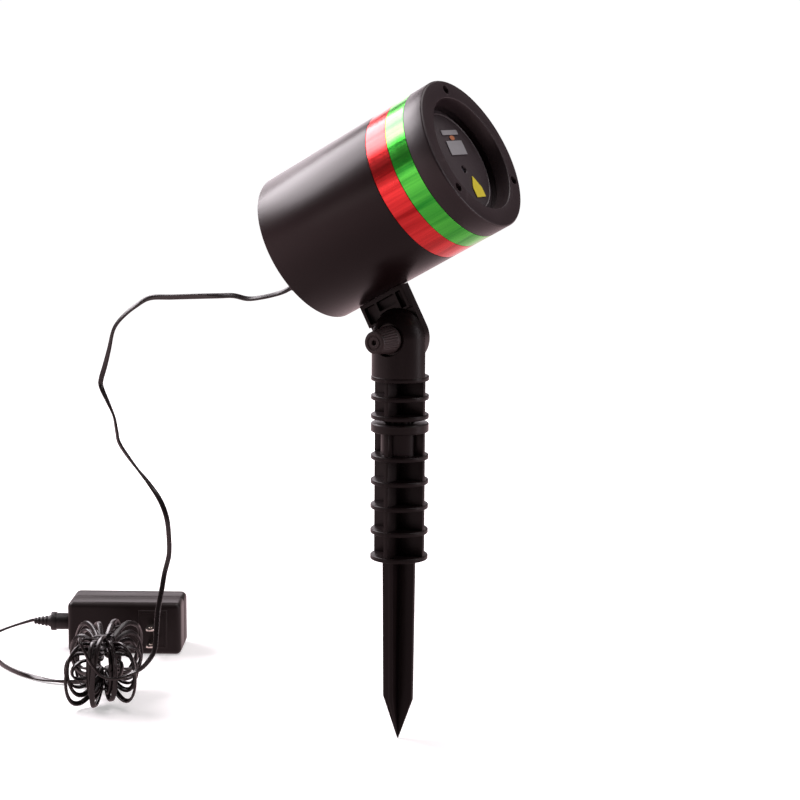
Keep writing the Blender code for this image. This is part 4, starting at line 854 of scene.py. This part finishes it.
screw_black = metal_of("screw_black_oxide", (0.10, 0.095, 0.10), 0.38, (700.0, 700.0, 700.0))
for number, (x, y) in enumerate(screw_places, 1):
    bm = cross_screw(0.0026, 0.0014, 0.0015, 0.0270)
    settle(
        f"front_screw_{number}", bm, screw_black, "head", "steel_hardware", f"bezel_screw_{number}",
        at=can @ Matrix.Translation((x, y, -0.0057)),
    )

# Face plate
# A moulded plate behind the ring, with the coned port that the beams leave by, and its
# seal behind.

plate_plastic = finish_of(
    "plate_plastic",
    (0.045, 0.034, 0.038),
    0.45,
    drift=0.12,
    grain_scale=1500.0,
    grain_depth=0.00005,
)
bm = lathe(
    [
        (0.0, -0.0116), (0.0318, -0.0116), (0.0321, -0.0119), (0.0326, -0.0119),
        (0.0329, -0.0116), (0.0336, -0.0117), (0.0340, -0.0122), (0.0340, -0.0137),
        (0.0389, -0.0137), (0.0389, -0.0157), (0.0, -0.0157),
    ],
    128,
    0.00008,
    1,
)
port = (0.0055, 0.0040)
window_seat = rod(0.0050, (*port, -0.0170), (*port, -0.0135), 48)
port_bore = rod(0.0026, (*port, -0.0150), (*port, 0.0), 48)
port_cone = rod(0.0026, (*port, -0.0121), (*port, -0.0110), 48, 0.0034)
bm = carved(bm, window_seat, port_bore, port_cone)
settle("port_plate", bm, plate_plastic, "head", "plate_black", "face_plate", at=can)

seal_rubber = finish_of("seal_rubber", (0.015, 0.014, 0.014), 0.6, grain_scale=900.0)
refinish(seal_rubber, "front_gasket", "rear_gasket")

window_glass, tree = blank("window_glass")
clear = {"Base Color": (0.86, 0.90, 0.93, 1.0), "Roughness": 0.04, "Transmission Weight": 0.9}
feed(tree, tree.nodes["Principled BSDF"], clear)
refinish(window_glass, "aperture_window")
refinish(metal_of("grating_film", (0.62, 0.66, 0.78), 0.12, (2400.0, 30.0, 30.0)), "grating_disc")

# Stickers
# Four thin film stickers on the face plate, left blank: two silver, a small orange oval and a
# yellow one with a gabled end.


def sticker_of(name, colour, roughness, metallic):
    """Printed film with a faint weave of its glue and a slight waviness."""
    return finish_of(
        name,
        colour,
        roughness,
        metallic=metallic,
        drift=0.10,
        drift_scale=220.0,
        grain_scale=600.0,
        grain_depth=0.00006,
    )


def sheet_cut(outline, height, thickness, corner):
    """A flat outline cut from film, its corners rounded."""
    bm = bmesh.new()
    face = bm.faces.new([bm.verts.new((x, y, height)) for x, y in outline])
    drawn = bmesh.ops.extrude_face_region(bm, geom=[face])["geom"]
    raised = [part for part in drawn if isinstance(part, bmesh.types.BMVert)]
    bmesh.ops.translate(bm, verts=raised, vec=(0, 0, thickness))
    bmesh.ops.recalc_face_normals(bm, faces=bm.faces)
    posts = [one for one in bm.edges if abs(one.verts[0].co.z - one.verts[1].co.z) > thickness / 2]
    soften(bm, corner, 4, edges=posts)
    return bm


silver_film = sticker_of("silver_film", (0.50, 0.50, 0.52), 0.33, 0.4)
orange_film = sticker_of("orange_film", (0.55, 0.20, 0.09), 0.42, 0.0)
yellow_film = sticker_of("yellow_film", (0.78, 0.66, 0.05), 0.42, 0.0)
film_low, film_thick = -0.0113, 0.0003
for name, node, slot, material, outline, corner in (
    (
        "silver_strip", "label_strip", "silver_label", silver_film,
        ((-0.0211, -0.0047), (-0.0179, -0.0047), (-0.0179, 0.0157), (-0.0211, 0.0157)), 0.0003,
    ),
    (
        "silver_block", "label_block", "silver_label", silver_film,
        ((-0.0138, -0.0042), (-0.0042, -0.0042), (-0.0042, 0.0162), (-0.0138, 0.0162)), 0.0004,
    ),
    (
        "yellow_gable", "label_house", "yellow_label", yellow_film,
        ((0.0250, 0.0035), (0.0250, 0.0150), (0.0185, 0.0150), (0.0105, 0.0092), (0.0185, 0.0035)),
        0.0006,
    ),
):
    bm = sheet_cut(outline, film_low, film_thick, corner)
    settle(name, bm, material, "head", slot, node, at=can)
bm = rod(0.0030, (0, 0, film_low), (0, 0, film_low + film_thick), 48)
bmesh.ops.scale(bm, vec=(0.55, 1.0, 1.0), verts=bm.verts)
bmesh.ops.translate(bm, verts=bm.verts, vec=(-0.0158, 0.0058, 0.0))
soften(bm, 0.00008, 1)
settle("orange_oval", bm, orange_film, "head", "orange_label", "label_oval", at=can)

# Optics
# A machined aluminium block holds both brass laser modules and the coated mirror that joins
# their beams. It stands behind the plate, over the round driver board on its three screws.

refinish(metal_of("milled_aluminium", (0.66, 0.66, 0.68), 0.30), "optics_block")
refinish(
    metal_of("turned_brass", (0.72, 0.52, 0.24), 0.28), "green_laser_module", "red_laser_module"
)
mirror_coating = metal_of("mirror_coating", (0.55, 0.35, 0.62), 0.06, (60.0, 60.0, 60.0))
refinish(mirror_coating, "combiner_mirror")
refinish(
    finish_of("green_resist", (0.02, 0.17, 0.07), 0.35, drift=0.35, drift_scale=260.0),
    "driver_board",
)
zinc = metal_of("bright_zinc", (0.58, 0.58, 0.60), 0.30)
refinish(zinc, "board_screw_1", "board_screw_2", "board_screw_3", "arm_screw_1", "arm_screw_2")

# Rear cover
# A round cover moulded in black plastic and let into the back of the can, where three zinc
# screws hold it on its rubber seal.

cover_plastic = finish_of(
    "cover_plastic",
    (0.014, 0.009, 0.010),
    0.42,
    grain_scale=1500.0,
    grain_depth=0.00006,
    worn=0.3,
)
outside, inside = -0.1309, -0.1285
bm = lathe(
    [
        (0.0, inside), (spigot, inside), (spigot, outside), (0.0460, outside),
        (0.0456, outside + 0.0005), (0.0448, outside + 0.0005), (0.0444, outside),
        (0.0346, outside), (0.0342, outside - 0.0004), (0.0330, outside - 0.0004),
        (0.0326, outside), (0.0, outside),
    ],
    128,
    0.00012,
)
settle("back_cover", bm, cover_plastic, "head", "cover_black", "rear_cover", at=can)
flip = Matrix.Rotation(math.pi, 4, "X")
for number, (x, y) in enumerate(on_circle(0.0405, 60.0, 180.0, 300.0), 1):
    bm = cross_screw(0.0030, 0.0016, 0.0015, 0.0120)
    seat_at = Matrix.Translation((x, y, outside - 0.0003)) @ flip
    settle(
        f"back_screw_{number}", bm, zinc, "head", "steel_hardware", f"rear_screw_{number}",
        at=can @ seat_at,
    )

# Cord gland
# A grommet in soft black vinyl that snaps into the cover and grips the flex, cut into rings
# behind so that it bends. A nut holds it inside.

gland_low = outside - 0.0003
gland_rim = gland_low - 0.0015
profile = [(0.0, inside + 0.0052), (0.0042, inside + 0.0052), (0.0042, gland_low)]
profile += [(0.0065, gland_low), (0.0065, gland_rim), (0.0046, gland_rim)]
for k in range(3):
    top = gland_rim - 0.0018 - k * 0.0035
    radius = 0.0043 - 0.0006 * k
    profile += [(radius, top), (radius - 0.0009, top - 0.0004)]
    profile += [(radius - 0.0009, top - 0.0015), (radius - 0.0003, top - 0.0019)]
profile += [(0.0024, gland_rim - 0.0145), (0.0, gland_rim - 0.0145)]
bm = lathe(profile, 48, 0.00018)
settle(
    "flex_gland", bm, flexible_black, "head", "flexible_black", "cord_gland",
    at=can @ Matrix.Translation((0.0205, -0.0180, 0.0)),
)
refinish(cover_plastic, "gland_nut")

# Push switch
# A push switch that sits in a hole of the back cover under a zinc ring nut. Its moulded black
# cap is sprung outwards.

refinish(cover_plastic, "switch_body")
bm = rod(0.0150 / math.sqrt(3.0), (0, 0, outside - 0.0022), (0, 0, outside - 0.0003), 6)
soften(bm, 0.0004, 2)
bm = carved(bm, rod(0.0061, (0, 0, outside - 0.01), (0, 0, outside + 0.01), 48))
switch_at = can @ Matrix.Translation((-0.0160, 0.0, 0.0))
settle("switch_ring_nut", bm, zinc, "head", "steel_hardware", "switch_nut", at=switch_at)
cap_end = outside - 0.0052
bm = lathe(
    [
        (0.0, inside + 0.0032), (0.0039, inside + 0.0032), (0.0039, cap_end + 0.0008),
        (0.0037, cap_end + 0.0003), (0.0032, cap_end), (0.0026, cap_end + 0.0001),
        (0.0012, cap_end + 0.0005), (0.0, cap_end + 0.0006),
    ],
    48,
    0.00008,
    1,
)
settle("switch_cap", bm, cover_plastic, "button", "cover_black", "power_button", at=switch_at)

# Arm
# The leg under the can in glass-filled nylon: a plate shaped to the can and screwed on from
# inside, with two thin ribs in its near face, a toothed cheek and a hub for the nut.

moulded_nylon = finish_of(
    "moulded_nylon",
    (0.012, 0.0070, 0.0073),
    0.36,
    specular=0.14,
    drift=0.20,
    drift_scale=45.0,
    grain_scale=1300.0,
    grain_depth=0.00006,
    worn=0.45,
)


def slab(outline, low, high):
    """A flat outline in XZ, drawn out along Y."""
    bm = bmesh.new()
    face = bm.faces.new([bm.verts.new((x, low, z)) for x, z in outline])
    drawn = bmesh.ops.extrude_face_region(bm, geom=[face])["geom"]
    moved = [part for part in drawn if isinstance(part, bmesh.types.BMVert)]
    bmesh.ops.translate(bm, verts=moved, vec=(0, high - low, 0))
    bmesh.ops.recalc_face_normals(bm, faces=bm.faces)
    return bm


def arc(centre, radius, start, end, steps):
    """Places along an arc, its angles in degrees."""
    angles = [math.radians(start + (end - start) * k / steps) for k in range(steps + 1)]
    return [(centre[0] + radius * math.cos(a), centre[1] + radius * math.sin(a)) for a in angles]


def toothed(radius, face, back, tooth=0.0007):
    """A disc along Y, its end at face cut into radial teeth."""
    teeth = 72
    depth = abs(face - back)
    mid = depth - tooth / 2
    bm = lathe([(0.0, mid), (0.0060, mid), (radius, depth), (radius, 0.0), (0.0, 0.0)], 2 * teeth)
    for vert in bm.verts:
        step = round(math.atan2(vert.co.y, vert.co.x) / math.tau * 2 * teeth)
        if abs(vert.co.z - depth) < 1e-6 and step % 2:
            vert.co.z = depth - tooth
    bmesh.ops.triangulate(bm, faces=bm.faces)
    side = 90.0 if face < back else -90.0
    turn = Matrix.Rotation(math.radians(side), 4, "X") @ Matrix.Rotation(
        math.pi / (2 * teeth), 4, "Z"
    )
    bmesh.ops.transform(bm, matrix=Matrix.Translation((0, back, 0)) @ turn, verts=bm.verts)
    return bm


knuckle = Vector((0.0797, 0.0, -0.0994))
half_width = 0.0172
arm_top = 0.0480
outline = [(arm_top, knuckle.z - half_width)]
outline += arc((knuckle.x, knuckle.z), half_width, -90.0, 90.0, 40)
outline += [(arm_top, knuckle.z + half_width)]
plate = slab(outline, -0.0020, 0.0078)
soften(plate, 0.0006, 3, 60.0)
can_side = rod(0.0503, (0, 0, knuckle.z - 0.03), (0, 0, knuckle.z + 0.03), 160)
recess = toothed(0.0190, 0.00095, -0.0050)
bmesh.ops.translate(recess, verts=recess.verts, vec=knuckle)
beside_teeth = brick((0.0330, 0.0040, 0.0400), (knuckle.x + 0.0023, -0.00105, knuckle.z))
plate = carved(plate, can_side, recess, beside_teeth)
pocket_top, pocket_turn = 0.0530, 0.0202
for low, high in ((-0.0148, -0.0062), (-0.0048, 0.0091), (0.0105, 0.0148)):
    reach = max(abs(low), abs(high))
    bottom = knuckle.x - max(0.0154, math.sqrt(pocket_turn**2 - reach**2))
    if low < 0.0 < high:
        bottom = knuckle.x - pocket_turn
    size = (bottom - pocket_top, 0.0080, high - low)
    middle = ((bottom + pocket_top) / 2, -0.0020, knuckle.z + (low + high) / 2)
    plate = carved(plate, brick(size, middle, 0.0007, 2))
hub = rod(0.0095, (knuckle.x, 0.0070, knuckle.z), (knuckle.x, 0.0115, knuckle.z), 64)
soften(hub, 0.0006, 3)
nut_room = 0.0106 / math.sqrt(3.0)
nut_end = (knuckle.x, 0.0130, knuckle.z)
hub = carved(hub, rod(nut_room, (knuckle.x, 0.0060, knuckle.z), nut_end, 6))
bm = together(plate, hub)
settle("tilt_arm", bm, moulded_nylon, "head", "stake_plastic", "arm", smooth=25.0, at=can)

# Clamp
# A steel stud through both cheeks, with a captive nut in the arm's hub, a blackened washer and a
# black hand knob fluted round its waist.

clamp = Matrix.Translation(hinge) @ Matrix.Rotation(math.radians(90.0), 4, "X")
profile = [(0.0, 0.0276), (0.0024, 0.0276), (0.0029, 0.0271), (0.0029, -0.0040)]
for k in range(7):
    at = -0.0040 - k * 0.0010
    profile += [(0.0029, at - 0.0003), (0.0025, at - 0.0006), (0.0025, at - 0.0008)]
    profile += [(0.0029, at - 0.0010)]
profile += [(0.0023, -0.0111), (0.0, -0.0111)]
bm = lathe(profile, 40)
settle("clamp_stud", bm, zinc, "knob", "steel_hardware", "clamp_bolt", at=clamp)
bm = rod(0.0100 / math.sqrt(3.0), (0, 0, -0.0113), (0, 0, -0.0063), 6)
soften(bm, 0.0005, 2)
stud_bore = 0.0032
bm = carved(bm, rod(stud_bore, (0, 0, -0.02), (0, 0, 0.0), 40))
nut_turn = clamp @ Matrix.Rotation(math.radians(28.3), 4, "Z")
settle("captive_nut", bm, zinc, "head", "steel_hardware", "clamp_nut", at=nut_turn)
profile = [(0.0098, 0.0140), (0.0100, 0.0138), (0.0100, 0.0130), (0.0098, 0.0128)]
profile += [(stud_bore, 0.0128), (stud_bore, 0.0140)]
bm = lathe(profile, 72)
settle("plain_washer", bm, can_enamel, "washer", "steel_hardware", "knob_washer", at=clamp)

# The knob is the arm's own black nylon, painted lighter as a lit copy of it: painted light where
# light falls on the knob.
lit_knob_nylon = finish_of(
    "lit_knob_nylon",
    (0.046, 0.032, 0.032),
    0.50,
    specular=0.3,
    grain_scale=1300.0,
    grain_depth=0.00006,
    worn=0.4,
)
knob_low, knob_front = 0.0143, 0.0336
flute_low, flute_high = knob_low + 0.0044, knob_front - 0.0019
bm = lathe(
    [
        (0.0, knob_front - 0.0026), (0.0014, knob_front - 0.0026), (0.0016, knob_front - 0.0003),
        (0.0019, knob_front), (0.0036, knob_front), (0.0038, knob_front - 0.0005),
        (0.0046, knob_front - 0.0005), (0.0048, knob_front), (0.0060, knob_front),
        (0.0068, knob_front - 0.0003), (0.0072, knob_front - 0.0011), (0.0073, flute_high),
        (0.0086, flute_low), (0.0085, knob_low + 0.0036), (0.0087, knob_low + 0.0032),
        (0.0089, knob_low + 0.0028), (0.0089, knob_low + 0.0003), (0.0086, knob_low),
        (stud_bore, knob_low), (stud_bore, 0.0279), (0.0, 0.0279),
    ],
    168,
)
for vert in bm.verts:
    if min(abs(vert.co.z - flute_low), abs(vert.co.z - flute_high)) < 0.00001:
        around = math.atan2(vert.co.y, vert.co.x)
        vert.co.xy *= 1.0 - 0.055 * (0.5 - 0.5 * math.cos(28.0 * around)) ** 1.5
settle("hand_knob", bm, lit_knob_nylon, "knob", "stake_plastic", "knob", smooth=22.0, at=clamp)

# Neck post
# The upper half of the stake: a toothed half knuckle on three flanges and crossed blades, with
# a splined peg below that drops into the stake's collar.


def flange(height):
    """A round flange with rounded rims."""
    half = 0.0029 / 2
    bm = rod(0.0185, (0, 0, height - half), (0, 0, height + half), 96)
    soften(bm, 0.0006, 3)
    return bm


post_radius, post_foot = 0.0182, 0.2362
profile = [(0.0, hinge.z + post_radius)]
profile += reversed(arc((0.0, hinge.z), post_radius, 0.0, 87.5, 35))
profile += [(post_radius, post_foot + 0.0002), (0.0180, post_foot), (0.0, post_foot)]
far_half = brick((0.08, 0.04, 0.08), (0.0, 0.02 - 0.00015, 0.27))
teeth = toothed(0.0186, -0.0018, 0.0030, tooth=0.0015)
bmesh.ops.translate(teeth, verts=teeth.verts, vec=hinge)
washer_face = rod(0.0106, (0, -0.03, hinge.z), (0, -0.0125, hinge.z), 64)
stud_hole = rod(stud_bore, (0, -0.03, hinge.z), (0, 0.01, hinge.z))
cheek = carved(lathe(profile, 161), far_half, teeth, washer_face, stud_hole)
neck_discs = (0.2376, 0.2254, 0.2131)
parts = [cheek, *(flange(height) for height in neck_discs)]
for size in ((0.0356, 0.0030, 0.0245), (0.0030, 0.0356, 0.0245)):
    parts.append(brick(size, (0, 0, (neck_discs[0] + neck_discs[-1]) / 2), 0.0004, 2))
peg_radius, peg_length, splines = 0.0093, 0.0233, 14
peg = bmesh.new()
bmesh.ops.create_cone(
    peg, cap_ends=True, segments=84, radius1=peg_radius, radius2=peg_radius, depth=peg_length
)
bmesh.ops.translate(peg, verts=peg.verts, vec=(0, 0, neck_discs[-1] - peg_length / 2))
for vert in peg.verts:
    around = splines * math.atan2(vert.co.y, vert.co.x)
    groove = min(1.0, max(0.0, 0.9 + 1.6 * math.cos(around)))
    vert.co.xy *= 1.0 - 0.0010 / peg_radius * groove
parts.append(peg)
bm = together(*parts)
settle("neck_knuckle", bm, moulded_nylon, "base", "stake_plastic", "neck_post", smooth=25.0)

# Stake
# The lower half, moulded in one: a socketed collar, five flanges on crossed blades, and a
# cross-shaped spike that tapers to a point.

stake_discs = (0.1870, 0.1710, 0.1549, 0.1387, 0.1217)
collar_top, collar_low = 0.2089, 0.2031
parts = [flange(height) for height in stake_discs]
parts.append(
    lathe(
        [
            (0.0179, collar_top), (0.0185, collar_top - 0.0006), (0.0185, collar_low + 0.0006),
            (0.0179, collar_low), (0.0122, collar_low), (0.0122, 0.1876), (0.0098, 0.1876),
            (0.0096, collar_top - 0.0004), (0.0100, collar_top),
        ],
        96,
    )
)
parts.append(brick((0.0194, 0.0194, 0.0010), (0, 0, 0.1881)))
blade_reach, spike_reach = 0.0178, 0.0115
half_outline = (
    (0.0004, 0.0), (0.0105, 0.0275), (spike_reach, stake_discs[-1]),
    (blade_reach, stake_discs[-1]), (blade_reach, 0.1890),
)
mirror_outline = [(-x, z) for x, z in reversed(half_outline)]
outline = [mirror_outline[-1], *half_outline, *mirror_outline[:-1]]
for turn in (0.0, 90.0):
    blade = slab(outline, -0.0015, 0.0015)
    for vert in blade.verts:
        if vert.co.z < 0.001:
            vert.co.y *= 0.22
    soften(blade, 0.00035, 2)
    wings = [
        brick((0.0062, 0.0030, 0.0150), (side * 0.0147, 0.0, 0.1965), 0.0004, 2)
        for side in (-1.0, 1.0)
    ]
    for shape in (blade, *wings):
        quarter = Matrix.Rotation(math.radians(turn), 3, "Z")
        bmesh.ops.rotate(shape, verts=shape.verts, cent=(0, 0, 0), matrix=quarter)
        parts.append(shape)
bm = together(*parts)
settle("ground_stake", bm, moulded_nylon, "base", "stake_plastic", "stake", smooth=25.0)
